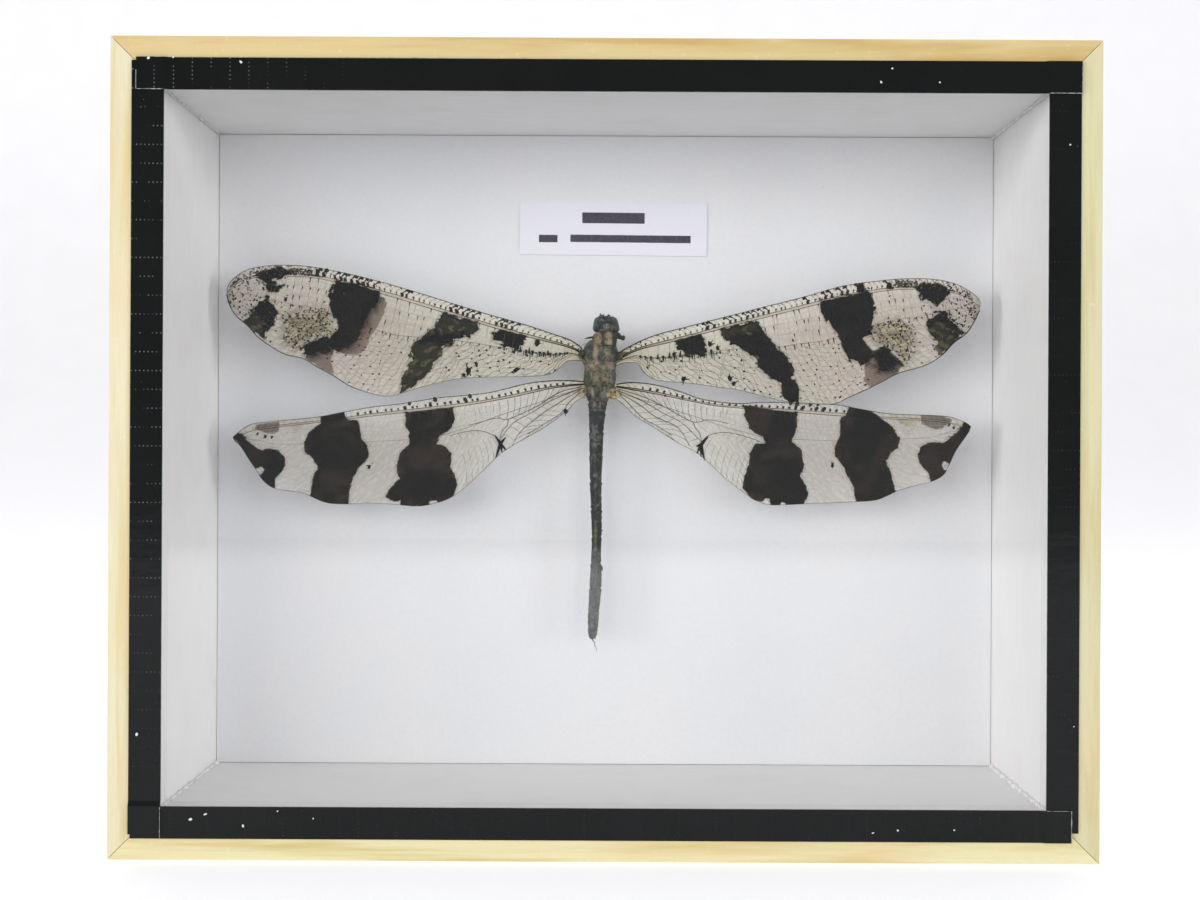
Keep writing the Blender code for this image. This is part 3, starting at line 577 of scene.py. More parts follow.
class Wing:
    """A wing as a sheet: u runs from root to tip, v from the front edge (-1) over the
    radius (0) to the rear edge (1)."""

    def __init__(self, name, data, style):
        self.name = name
        self.data = data
        self.style = style
        self.lead = even_curve(data["lead"])
        self.radius = even_curve(data["radius"])
        self.trail = even_curve(data["trail"])
        self.depth = middle(name).y - SPECIMEN.y
        self.length = np.linalg.norm(self.radius[-1] - self.radius[0])
        self.count = int(self.length / style["spacing"])

    def flat(self, u, v):
        u, v = np.broadcast_arrays(np.asarray(u, float).ravel(), np.asarray(v, float).ravel())
        radius = at(self.radius, u)
        edge = np.where(v[:, None] < 0, at(self.lead, u), at(self.trail, u))
        return radius + (edge - radius) * np.abs(v)[:, None]

    def chord(self, u):
        return np.linalg.norm(at(self.trail, u) - at(self.radius, u), axis=1) + 0.01

    def relief(self, u, v):
        """Depth in mm: the radius stands towards the viewer and the sheet is fluted."""
        fade = np.sin(np.pi * np.clip(u, 0, 1)) ** 0.5
        ridge = -0.16 * np.exp(-(v / 0.06) ** 2)
        groove = 0.07 * np.exp(-((v + 0.45) / 0.3) ** 2)
        flutes = 0.05 * np.sin(v * 21) * np.clip(v * 3, 0, 1)
        bow = -0.18 * np.sin(np.pi * np.clip(u, 0, 1)) * (1 - np.abs(v - 0.3))
        return (ridge + groove + flutes + bow) * fade

    def world(self, u, v, lift=0.0):
        """Points in metres for arrays of u and v; lift is in mm towards the viewer."""
        u, v = np.broadcast_arrays(np.asarray(u, float).ravel(), np.asarray(v, float).ravel())
        flat = self.flat(u, v) * MM
        y = SPECIMEN.y + self.depth + (self.relief(u, v) - lift) * MM
        return np.column_stack([SPECIMEN.x + flat[:, 0], y, SPECIMEN.z + flat[:, 1]])

    def raised(self, path, lift):
        """Points in metres for a path of (x, z) in mm, all at one depth before the sheet."""
        y = SPECIMEN.y + self.depth - lift * MM
        return np.column_stack([SPECIMEN.x + path[:, 0] * MM, np.full(len(path), y),
                                SPECIMEN.z + path[:, 1] * MM])

    def branch_u(self, i, v):
        """Where branch i of the net lies at v."""
        mid = self.style["mid"]
        share = (v - mid) / (1 - mid)
        wobble = 0.22 * np.sin(share * 6 + i * 1.7) / self.count
        return i / self.count + self.style["lean"] * share + wobble

    def cell_grid(self, u, v):
        """(whole numbers that name the cell, how far from its walls) for each point."""
        mid = self.style["mid"]
        share = (v - mid) / (1 - mid)
        wave = 0.25 * np.sin(v * 37 + u * 9) + 0.2 * np.sin(u * 61 + v * 5)
        a = (u - self.style["lean"] * share) * self.count + wave
        i = np.floor(a)
        rows = (v - mid) * self.chord(u) / self.style["cell"] + 0.5 * (i % 2) + wave
        front = v < mid
        a = np.where(front, u * self.length / 0.8 + 0.37 * np.floor(v * 5 / mid) + wave, a)
        rows = np.where(front, v * 5 / mid + wave, rows)
        costal = v < -self.style["band"]
        a = np.where(costal, u * self.length / self.style["rungs"], a)
        rows = np.where(costal, 0.5, rows)
        i, j = np.floor(a), np.floor(rows)
        near = np.minimum(np.minimum(a - i, 1 - a + i), np.minimum(rows - j, 1 - rows + j))
        return i, j, np.clip(near * 2.4, 0, 1)

    def mark(self, flat, key, jitter=0.0):
        """Distance in mm inside the nearest outline of that kind."""
        best = np.full(len(flat), -REACH)
        for outline in self.data.get(key, []):
            best = np.maximum(best, inside(flat, outline))
        return np.clip(best + jitter, -REACH, REACH)

    def membrane(self, material):
        """The sheet between the veins, with its markings as numbers at each point."""
        band = self.style["band"]
        along = np.linspace(0, 1, ALONG) ** CROWDING
        across = np.concatenate([np.linspace(-1, -band, BEFORE_BAND),
                                 np.linspace(-band, 0, IN_BAND)[1:],
                                 np.linspace(0, 1, BEHIND)[1:]])
        u, v = (grid.ravel() for grid in np.meshgrid(along, across, indexing="ij"))
        verts = self.world(u, v)
        flat = self.flat(u, v)
        i, j, open_cell = self.cell_grid(u, v)
        step = (scatter(i, j) - 0.5) * self.style["ragged"]
        wide = len(across)
        faces = []
        for row in range(len(along) - 1):
            for column in range(wide - 1):
                a = row * wide + column
                faces.append((a, a + 1, a + wide + 1, a + wide))
        root = np.exp(-np.linalg.norm(flat - self.radius[0], axis=1) / 4.0)
        apex = np.clip((u - APEX_PART) / (1 - APEX_PART), 0, 1)
        layers = {
            "ink": self.mark(flat, "ink", step * (1 + 1.6 * apex)),
            "brown": self.mark(flat, "brown", step * 0.4),
            "warm": self.mark(flat, "warm", step * 1.6),
            "olive": self.mark(flat, "olive", step * 1.4),
            "open_cell": open_cell,
            "cell_tint": scatter(i, j, 3.0),
            "root": root,
            "apex": apex,
            "inner": 1 / (1 + np.exp((u - 0.42) * 18)),
            "band": ((v >= -band - 1e-6) & (v <= 1e-6)).astype(float),
        }
        piece(self.name + "_membrane", verts.tolist(), faces, material,
              (self.name,), layers)

    def zone(self, flat, key):
        """1 inside the outlines of that kind and 0 outside them."""
        return 1 / (1 + np.exp(-8 * self.mark(flat, key)))

    def vein(self, batch, u, v, radius, tone, lift=0.0):
        """A vein along u and v: darker in the blotches and warm parts, olive near the root."""
        flat = self.flat(u, v)
        warm = self.zone(flat, "warm") if self.style is FORE else 0.0
        tones = np.maximum(tone, 0.85 * warm)
        tones = tones + (1 - tones) * self.zone(flat, "ink")
        near_root = np.linalg.norm(flat - self.radius[0], axis=1)
        warmth = np.exp(-near_root / 7.0)
        thick = np.asarray(radius) * (1 + 0.35 * warm + 0.7 * np.exp(-near_root / 5.0))
        batch.tube(self.world(u, v, lift), thick * MM, tones, warmth)

    def main_veins(self, batch):
        u = np.linspace(0, 1, 160)
        taper = 1 - 0.55 * u
        zero = np.zeros_like(u)
        band = self.style["band"]
        fore = self.style is FORE
        self.vein(batch, u, zero - 1, 0.075 * taper + 0.025, 0.90)
        self.vein(batch, u, zero + 1, 0.045 + 0.06 * fore * np.clip((u - 0.5) * 8, 0, 1), 0.90)
        self.vein(batch, u[:150], zero[:150] - band, 0.072 * taper[:150], 1.0, 0.04)
        self.vein(batch, u, zero - band / 2, 0.055 * taper, 0.0, 0.03)
        self.vein(batch, u, zero + 0.01, 0.090 * taper, 1.0, 0.05)
        mid = self.style["mid"]
        self.vein(batch, u, zero + mid, 0.05 * taper, 0.80)
        for share in (1 / 3, 2 / 3):
            far = np.linspace(0.3, 1, 110)
            self.vein(batch, far, np.full_like(far, mid * share), 0.028, self.style["tone"])

    def costal_ladder(self, batch):
        """Slanting rungs between the front edge and the pale band, with dark wedges."""
        fore = self.style is FORE
        band = self.style["band"]
        count = int(self.length / self.style["rungs"])
        shape = np.array([1.5, 0.8, 0.5, 0.9, 1.6] if fore else [0.8, 0.7, 0.8, 1.3, 2.2])
        for k in range(2, count - 1):
            u = (k + rng.uniform(-0.2, 0.2)) / count
            if u > 0.97:
                continue
            lean = rng.uniform(0.9, 1.5) / count
            v = np.linspace(-0.98, -band, len(shape))
            x = self.flat([u], [-0.5])[0, 0]
            heavy = max([amount for start, end, amount in self.data["costal"]
                         if min(start, end) <= x <= max(start, end)] + [0.0])
            bow = 0.25 * lean * np.sin(np.linspace(0, math.pi, len(shape)))
            path = u + lean * (v + band) + bow
            thick = (0.030 + 0.13 * heavy * fore + 0.05 * heavy) * shape
            if fore:
                thick = thick + 0.045 * rng.uniform(0, 1) * shape
            self.vein(batch, path, v, thick, 0.80 + 0.15 * heavy)
            if not fore and not 0.06 < u < 0.66:
                continue
            size = rng.uniform(0.10, 0.17) * (1 + 0.9 * heavy) * (1.0 if fore else 1.45)
            spot = self.world([path[3]], [-band - 0.22], SPOT_LIFT)[0]
            angle = math.pi / 2 - math.copysign(0.55, self.radius[-1][0]) + rng.uniform(-0.2, 0.2)
            batch.blot(spot, size * MM, 1.5 + 0.5 * heavy, angle, 0.05 * MM, 0.9)
            if heavy > 0.4 or (fore and rng.random() < 0.4):
                top = self.world([path[0]], [-0.88], 0.02)[0]
                batch.blot(top, size * rng.uniform(0.7, 1.1) * MM, 1.3, angle, 0.05 * MM, 0.88)

    def spur(self, batch, u, v, length, size):
        """A short dark spur that hangs from a lengthwise vein."""
        a, b = self.world([u, u + 0.001], [v, v + length], SPOT_LIFT)
        batch.tube([a, (a + b) / 2, b], np.array([1.5, 1.0, 0.35]) * size * MM, 0.95)

    def front_rungs(self, batch):
        """Crossveins between the radius and the main lengthwise vein."""
        mid = self.style["mid"]
        fore = self.style is FORE
        bands = [(0.0, mid, 0.03, 0.31, 1.5)]
        bands += [(mid * k / 3, mid * (k + 1) / 3, 0.31, 0.98, 1.3) for k in range(3)]
        for start, end, first, last, spacing in bands:
            count = int(self.length * (last - first) / spacing)
            for k in range(count):
                u = first + (last - first) * (k + rng.uniform(0.2, 0.8)) / count
                v = np.array([start, end])
                self.vein(batch, u + np.array([0, rng.uniform(-0.1, 0.4)]) * 0.012, v,
                          self.style["thin"], self.style["tone"])
                if fore and rng.random() < 0.42:
                    self.spur(batch, u, start + 0.01, rng.uniform(0.03, 0.055),
                              rng.uniform(0.06, 0.10))

    def net(self, batch):
        """Branches from the main lengthwise vein to the rear edge, and their crossveins.

        Near the root of a front wing the cells are a quarter longer and dark-walled.
        """
        style = self.style
        mid = style["mid"]
        fore = style is FORE
        for i in range(1, self.count + 4):
            inner = fore and i < self.count * ROOT_PART
            tone = rng.uniform(0.62, 0.88) if inner else style["tone"]
            thin = style["thin"] * (1.15 if inner else 1.0)
            cell = style["cell"] * (1.25 if inner else 1.0)
            v = np.linspace(mid, 1, 9)
            u = self.branch_u(i, v) + 0.0035 * np.sin(v * 23 + i * 2.1) * (2.0 if inner else 1.0)
            keep = (u > 0.0) & (u < 1.0)
            if keep.sum() < 2:
                continue
            self.vein(batch, u[keep], v[keep], thin * 1.2, tone)
            chord = self.chord(np.array([min(i / self.count, 1.0)]))[0]
            rows = int(chord * (1 - mid) / cell) + 1
            for j in range(rows):
                offset = 0.5 * (i % 2) + rng.uniform(-0.32, 0.32)
                start = mid + (j + offset) * cell / chord
                end = start + rng.uniform(-0.4, 0.4) * cell / chord
                if not (mid < start < 0.99 and mid < end < 0.99):
                    continue
                pair = np.array([self.branch_u(i, start), self.branch_u(i + 1, end)])
                if pair.min() < 0 or pair.max() > 1:
                    continue
                self.vein(batch, pair, np.array([start, end]), thin, tone)
                self.net_blot(batch, pair[0], start, inner)

    def net_blot(self, batch, u, v, inner):
        """A dark spot at a joint of the net, thicker and denser in the mottled parts."""
        chance = self.style["blots"]
        if chance == 0:
            return
        flat = self.flat([u], [v])
        warm = self.zone(flat, "warm")[0]
        apex = max(0.0, (u - APEX_PART) * 4)
        chance = chance * min(0.25 + 2.2 * u, 1.2) + 0.20 * inner + 0.4 * warm + 0.5 * apex
        if rng.random() < chance:
            size = rng.uniform(0.07, 0.15) + 0.03 * warm + 0.03 * inner + 0.08 * apex
            angle = rng.uniform(0, math.pi)
            centre = self.world([u + rng.uniform(-0.003, 0.003)], [v], SPOT_LIFT)[0]
            batch.blot(centre, size * MM, 1.4, angle, 0.04 * MM)

    def apex_speckle(self, batch):
        """Small irregular spots over the tip and the warm patches of a front wing."""
        places = [(rng.uniform(APEX_PART, 0.985), rng.uniform(-0.7, 0.85)) for _ in range(190)]
        loose = [(rng.uniform(0.55, 0.98), rng.uniform(-0.9, 0.98)) for _ in range(2600)]
        warm = self.zone(self.flat(*np.array(loose).T), "warm")
        places += [place for place, amount in zip(loose, warm) if amount > 0.5]
        places += loose[:60]
        for u, v in places:
            size = rng.uniform(0.05, 0.16)
            spot = self.world([u], [v], SPOT_LIFT)[0]
            batch.blot(spot, size * MM, rng.uniform(1.0, 2.2), rng.uniform(0, math.pi), 0.03 * MM,
                       rng.choice((0.7, 0.85, 1.0)), sides=6)

    def mid_row(self, batch):
        """The row of dark wedges along the main lengthwise vein, near the root."""
        mid = self.style["mid"]
        u = np.linspace(0.04, 0.9, 300)
        x = self.flat(u, np.full_like(u, mid))[:, 0]
        start, end = self.data["row"]
        near = u[(x >= start) & (x <= end)]
        for value in np.linspace(near.min(), near.max(), 13):
            value += rng.uniform(-0.004, 0.004)
            way = rng.choice((-1, 1))
            self.spur(batch, value, mid - 0.04 * way, 0.15 * way, rng.uniform(0.17, 0.25))
            self.spur(batch, value + 0.006, mid + 0.01, rng.uniform(0.08, 0.24), 0.07)
        for value in np.linspace(near.max() + 0.02, 0.92, 30):
            value += rng.uniform(-0.006, 0.006)
            self.spur(batch, value, mid, rng.uniform(0.03, 0.07), rng.uniform(0.06, 0.11))

    def ladder(self, batch, one, other, count, bow, radius=0.034, tone=0.92):
        """Thin curved crossveins between two curves given in mm."""
        one, other = even_curve(one, 60), even_curve(other, 60)
        for k in range(count):
            share = (k + 0.5 + rng.uniform(-0.2, 0.2)) / count
            a, b = at(one, np.array([share]))[0], at(other, np.array([share]))[0]
            side = np.array([b[1] - a[1], a[0] - b[0]])
            t = np.linspace(0, 1, 5)[:, None]
            path = a + (b - a) * t + side * bow * np.sin(t * math.pi)
            batch.tube(self.raised(path, RUNG_LIFT), radius * MM, tone)

    def own_veins(self, batch):
        """Veins and spots that have their own places on this wing."""
        for route in self.data.get("veins", []):
            path = even_curve(route, 30)
            reach = np.linspace(0, 1, len(path))
            batch.tube(self.raised(path, OWN_LIFT), (0.080 - 0.030 * reach) * MM,
                       0.80 + 0.12 * reach, np.exp(-reach * 4))
        for x, z, size in self.data["spots"]:
            centre = self.raised(np.array([(x, z)]), OWN_LIFT)[0]
            batch.blot(centre, size * MM, 1.4, rng.uniform(0.8, 2.2), 0.08 * MM, sides=9)
            for _ in range(rng.randint(2, 4)):
                turn = rng.uniform(0, 2 * math.pi)
                reach = size * rng.uniform(1.6, 2.6) * MM
                tip = centre + reach * np.array((math.cos(turn), 0.0, math.sin(turn)))
                batch.tube([centre, tip], np.array([0.5, 0.12]) * size * MM, 1.0)
        hub, *arms = np.array(self.data.get("star", [(0, 0)]))
        for arm in arms:
            path = np.array([hub, (hub + arm) / 2, arm])
            batch.tube(self.raised(path, OWN_LIFT), np.array([0.42, 0.28, 0.10]) * MM, 1.0)

    def hind_base(self, batch):
        """Crossveins between the dark veins near the root of a hind wing."""
        top, fork, second, third, fourth, arc = self.data["veins"]
        side = math.copysign(1.0, self.radius[-1][0])
        near = self.radius[(np.abs(self.radius[:, 0]) < 24)][::20]
        self.ladder(batch, near[1:], top[1:6], 15, 0.06 * side)
        self.ladder(batch, top[1:4], second[1:4], 6, 0.05 * side)
        self.ladder(batch, second[1:], third[1:], 7, 0.05 * side)
        self.ladder(batch, third[1:], fourth[1:], 7, 0.05 * side)
        rear = self.trail[np.abs(self.trail[:, 0]) < 16][::20]
        self.ladder(batch, fourth[1:], rear[1:], 10, 0.12 * side)
        reach = np.abs(self.trail[:, 0])
        outer = self.trail[(reach > 15) & (reach < 24.5)][::12]
        fan = [fork[-1], arc[2], arc[4], arc[5]]
        self.ladder(batch, fan, outer, 9, 0.10 * side, 0.026, 0.7)

    def veins(self, material):
        batch = Batch()
        self.main_veins(batch)
        self.costal_ladder(batch)
        self.front_rungs(batch)
        self.net(batch)
        if self.data["row"]:
            self.mid_row(batch)
            self.apex_speckle(batch)
        else:
            self.hind_base(batch)
        self.own_veins(batch)
        batch.build(self.name + "_veins", material)


def membrane_material(name, skins, inks, opacity):
    """Clear skin with blotches; noise roughens the edge of each marking.

    skins are two pale tints and the tint of the inner half; inks are the blotches' darkest
    colour, their lighter patches and the half-dark brown beside them; opacity is the clear
    skin's.
    """
    paint = Paint(name)
    fine = paint.noise(2200, 4)
    broad = paint.noise(170, 3, bend=0.6)
    rough_edge = paint.calc("MULTIPLY_ADD", fine, 0.5, -0.25)
    reach = paint.calc("ADD", paint.read("ink"), rough_edge)
    brown = paint.step(paint.calc("ADD", paint.read("brown"), rough_edge), -0.15, 0.15)
    ink = paint.step(reach, -0.09, 0.09)
    soft_ink = paint.calc("MULTIPLY", paint.step(reach, -1.8, 0.6), brown)
    rim = paint.calc("MULTIPLY", paint.step(reach, -0.45, -0.05), 0.55)
    warm = paint.step(paint.calc("ADD", paint.read("warm"), rough_edge), -1.5, 1.4)
    olive = paint.step(paint.calc("ADD", paint.read("olive"), rough_edge), -0.3, 0.4)
    cell = paint.read("open_cell")
    tint = paint.read("cell_tint")

    skin = paint.blend(paint.step(broad, 0.38, 0.62), skins[0], skins[1])
    skin = paint.lay(skin, paint.read("inner"), 0.8, skins[2])
    skin = paint.lay(skin, tint, 0.26, srgb(204, 198, 168))
    walls = paint.calc("MULTIPLY", paint.calc("SUBTRACT", 1.0, cell), 0.22)
    skin = paint.blend(walls, skin, srgb(120, 112, 88))
    skin = paint.lay(skin, paint.read("apex"), 0.7, srgb(152, 140, 116))
    warm_skin = paint.blend(tint, srgb(178, 164, 122), srgb(92, 80, 50))
    skin = paint.lay(skin, warm, 0.8, warm_skin)
    skin = paint.lay(skin, paint.read("root"), 0.8, srgb(190, 176, 122))
    skin = paint.blend(paint.read("band"), skin, srgb(210, 196, 176))
    skin = paint.blend(rim, skin, srgb(134, 124, 84))
    skin = paint.lay(skin, brown, 0.85, inks[2])
    blotch = paint.lay(inks[0], paint.step(broad, 0.42, 0.68), 0.9, inks[1])
    spotted = paint.blend(paint.step(tint, 0.6, 1.0), srgb(54, 54, 42), srgb(112, 106, 74))
    spotted = paint.lay(spotted, walls, 2.0, srgb(40, 38, 26))
    blotch = paint.lay(blotch, olive, 0.75, spotted)
    colour = paint.blend(paint.calc("MAXIMUM", ink, soft_ink), skin, blotch)

    cover = paint.calc("MULTIPLY_ADD", paint.read("root"), 0.15, opacity)
    for key, start, end, most in (("ink", -0.3, 0.1, 1.0), ("brown", -0.3, 0.2, 0.95),
                                  ("warm", -1.5, 1.4, 0.85), ("band", 0.0, 1.0, 0.95),
                                  ("apex", 0.0, 1.2, 0.85)):
        amount = paint.calc("MULTIPLY", paint.step(paint.read(key), start, end), most)
        cover = paint.calc("MAXIMUM", cover, amount)
    height = paint.calc("MULTIPLY_ADD", cell, 0.6, paint.calc("MULTIPLY", fine, 0.3))
    gloss = paint.calc("MULTIPLY_ADD", fine, 0.2, 0.32)
    return paint.finish(colour, gloss, Alpha=cover, Normal=paint.bump(height, 0.00006),
                        Specular_IOR_Level=0.05)


def vein_material():
    """Pale where the tone is 0, brown half way and black at 1; olive where it is warm."""
    paint = Paint("vein")
    tone = paint.read("tone")
    grain = paint.noise(3000, 2)
    pale = paint.blend(grain, srgb(196, 182, 160), srgb(212, 200, 182))
    warm = paint.blend(paint.read("warmth"), pale, srgb(140, 120, 62))
    middle_tone = paint.blend(paint.step(tone, 0.2, 0.65), warm, srgb(108, 98, 78))
    colour = paint.blend(paint.step(tone, 0.6, 1.0), middle_tone, (0.007, 0.0065, 0.006))
    return paint.finish(colour, 0.45, Normal=paint.bump(grain, 0.00002),
                        Specular_IOR_Level=0.15)


def make_wings():
    fore = membrane_material(
        "forewing_skin",
        (srgb(236, 224, 202), srgb(240, 220, 206), srgb(230, 228, 204)),
        ((0.004, 0.0045, 0.004), (0.010, 0.010, 0.008), srgb(104, 82, 72)), 0.52)
    hind = membrane_material(
        "hindwing_skin",
        (srgb(242, 237, 222), srgb(244, 232, 224), srgb(236, 234, 218)),
        (srgb(20, 21, 18), srgb(52, 42, 38), srgb(88, 76, 68)), 0.40)
    vein = vein_material()
    for name, data in WINGS.items():
        front = name.startswith("fore")
        wing = Wing(name, data, FORE if front else HIND)
        wing.membrane(fore if front else hind)
        wing.veins(vein)


# --------------------------------------------------------------------- body

def loft(name, stations, patches, base, material, replaces=(), rings=120, sides=72, relief=None):
    """A closed skin through stations of (z, x, depth, half width, half depth) in mm.

    patches are (x, z, half width, half height, colour, strength) painted on the front.
    relief gives the outward push in mm for arrays of x, z and the angle round the body.
    """
    rows = even_curve(stations, rings)
    angle = np.linspace(0, 2 * math.pi, sides, endpoint=False)
    z, x, depth, wide, deep = (column[:, None] for column in rows.T)
    across = x + wide * np.cos(angle)
    push = relief(across, z + 0 * across, angle + 0 * across) if relief else 0 * across
    end = np.linspace(0, 1, rings + 1)[:, None]
    push = push * np.clip(np.minimum(end, 1 - end) * 20, 0, 1)
    px = x + (wide + push) * np.cos(angle)
    py = depth - (deep + push) * np.sin(angle)
    pz = z + 0 * px
    front = np.clip(np.sin(angle) * 1.5 + 0.4, 0, 1) + 0 * px
    skin = np.empty((rings + 1, sides, 4))
    skin[:] = (*base, 1.0)
    for cx, cz, half_wide, half_high, colour, strength in patches:
        reach = ((px - cx) / half_wide) ** 2 + ((pz - cz) / half_high) ** 2
        weight = np.exp(-reach ** 2)[..., None] * strength * front[..., None]
        skin = skin * (1 - weight) + np.array((*colour, 1.0)) * weight
    points = from_specimen(np.stack([px, py, pz], axis=-1).reshape(-1, 3))
    faces = []
    for ring in range(rings):
        for side in range(sides):
            a = ring * sides + side
            b = ring * sides + (side + 1) % sides
            faces.append((a, a + sides, b + sides, b))
    faces.append(tuple(range(sides)))
    faces.append(tuple(reversed(range(rings * sides, (rings + 1) * sides))))
    piece(name, points.tolist(), faces, material, replaces,
          {"skin": skin.reshape(-1, 4)})


def rough(x, z, angle, scale, salt=0.0):
    """Smooth repeatable noise from -1 to 1 over the skin of a loft."""
    values = [noise.noise(Vector((a * scale, b * scale, math.sin(c) * scale + salt)))
              for a, b, c in zip(x.ravel(), z.ravel(), angle.ravel())]
    return np.array(values).reshape(x.shape)


def bump_at(x, z, cx, cz, half_wide, half_high):
    """A smooth hill of height 1 at cx, cz."""
    return np.exp(-((x - cx) / half_wide) ** 2 - ((z - cz) / half_high) ** 2)


TAN = srgb(166, 150, 118)
PINK_TAN = srgb(154, 138, 120)
OLIVE = srgb(112, 112, 86)
PALE = srgb(182, 180, 168)
SLATE = srgb(46, 51, 51)
DEEP = srgb(30, 32, 30)
BROWN = srgb(84, 60, 34)
LILAC = srgb(140, 136, 146)
RUST = srgb(140, 108, 94)
AMBER = srgb(196, 172, 126)


def cuticle_material():
    """Insect skin: the painted colour broken up by noise, with pits and dust."""
    paint = Paint("cuticle_skin")
    skin = paint.read("skin", "Color")
    blotches = paint.noise(1500, 4, rough=0.7, bend=0.5)
    fine = paint.noise(6000, 2)
    broad = paint.noise(800, 3, bend=0.8)
    colour = paint.lay(skin, paint.step(blotches, 0.46, 0.62), 0.80, (0.018, 0.021, 0.017))
    colour = paint.lay(colour, paint.step(broad, 0.52, 0.70), 0.35, srgb(158, 158, 146))
    height = paint.calc("MULTIPLY_ADD", blotches, 0.8, paint.calc("MULTIPLY", fine, 0.4))
    roughness = paint.calc("MULTIPLY_ADD", broad, 0.30, 0.45)
    return paint.finish(colour, roughness, Normal=paint.bump(height, 0.00012),
                        Specular_IOR_Level=0.15)


def thorax_relief(x, z, angle):
    """Shoulders and plates pushed out, with the seams between them pressed in."""
    front = np.clip(np.sin(angle), 0, 1)
    push = 0.35 * bump_at(x, z, -2.3, 3.9, 1.0, 1.6) + 0.30 * bump_at(x, z, 2.5, 3.0, 0.9, 1.2)
    push += 0.16 * bump_at(x, z, -1.2, 1.2, 0.8, 1.1) + 0.16 * bump_at(x, z, 0.9, 1.1, 0.8, 1.1)
    push += 0.14 * bump_at(x, z, -1.2, -1.4, 0.9, 0.9) + 0.14 * bump_at(x, z, 0.5, -1.3, 0.9, 0.9)
    push -= 0.22 * front * np.exp(-((z - 2.1 + 0.25 * np.abs(x + 0.2)) / 0.16) ** 2)
    push -= 0.26 * front * np.exp(-((z - 0.1) / 0.16) ** 2)
    push -= 0.26 * front * np.exp(-((z + 2.45) / 0.15) ** 2)
    push -= 0.16 * front * np.exp(-((x + 0.25) / 0.12) ** 2)
    return push + 0.10 * rough(x, z, angle, 1.6) + 0.05 * rough(x, z, angle, 5.0, 3.0)


def pronotum_relief(x, z, angle):
    """A seam down the middle, a groove across and a raised front rim."""
    front = np.clip(np.sin(angle), 0, 1)
    push = -0.22 * front * np.exp(-((x - 0.35) / 0.14) ** 2)
    push -= 0.14 * front * np.exp(-((z - 5.7) / 0.12) ** 2)
    push += 0.12 * front * np.exp(-((z - 6.75) / 0.16) ** 2)
    return push + 0.06 * rough(x, z, angle, 2.2) + 0.03 * rough(x, z, angle, 7.0, 3.0)


def abdomen_relief(x, z, angle):
    """Segment joints, lengthwise ridges of the dried skin, and a few dents."""
    joints = (-5.2, -7.0, -10.3, -14.4, -19.0, -23.8, -28.6, -33.2, -37.6, -41.6, -44.6)
    push = np.zeros_like(x)
    for place in joints:
        push -= 0.11 * np.exp(-((z - place) / 0.16) ** 2)
        push += 0.07 * np.exp(-((z - place + 0.4) / 0.25) ** 2)
    dry = 1 / (1 + np.exp(-0.9 * (z + 31)))
    twist = angle + 0.035 * z
    push += dry * 0.10 * np.sin(twist * 5 + 0.6) + 0.025 * np.sin(twist * 13)
    push -= dry * 0.12 * np.clip(np.sin(twist * 3 + 0.9), 0, 1)
    for index, place in enumerate((-16.2, -17.4, -18.6, -19.9, -21.2, -22.6)):
        slope = (-1) ** index * 0.9
        push += 0.07 * np.exp(-((z - place + slope * np.cos(angle)) / 0.16) ** 2)
    return push + 0.08 * rough(x, z, angle, 1.8) + 0.03 * rough(x, z, angle, 6.0, 5.0)


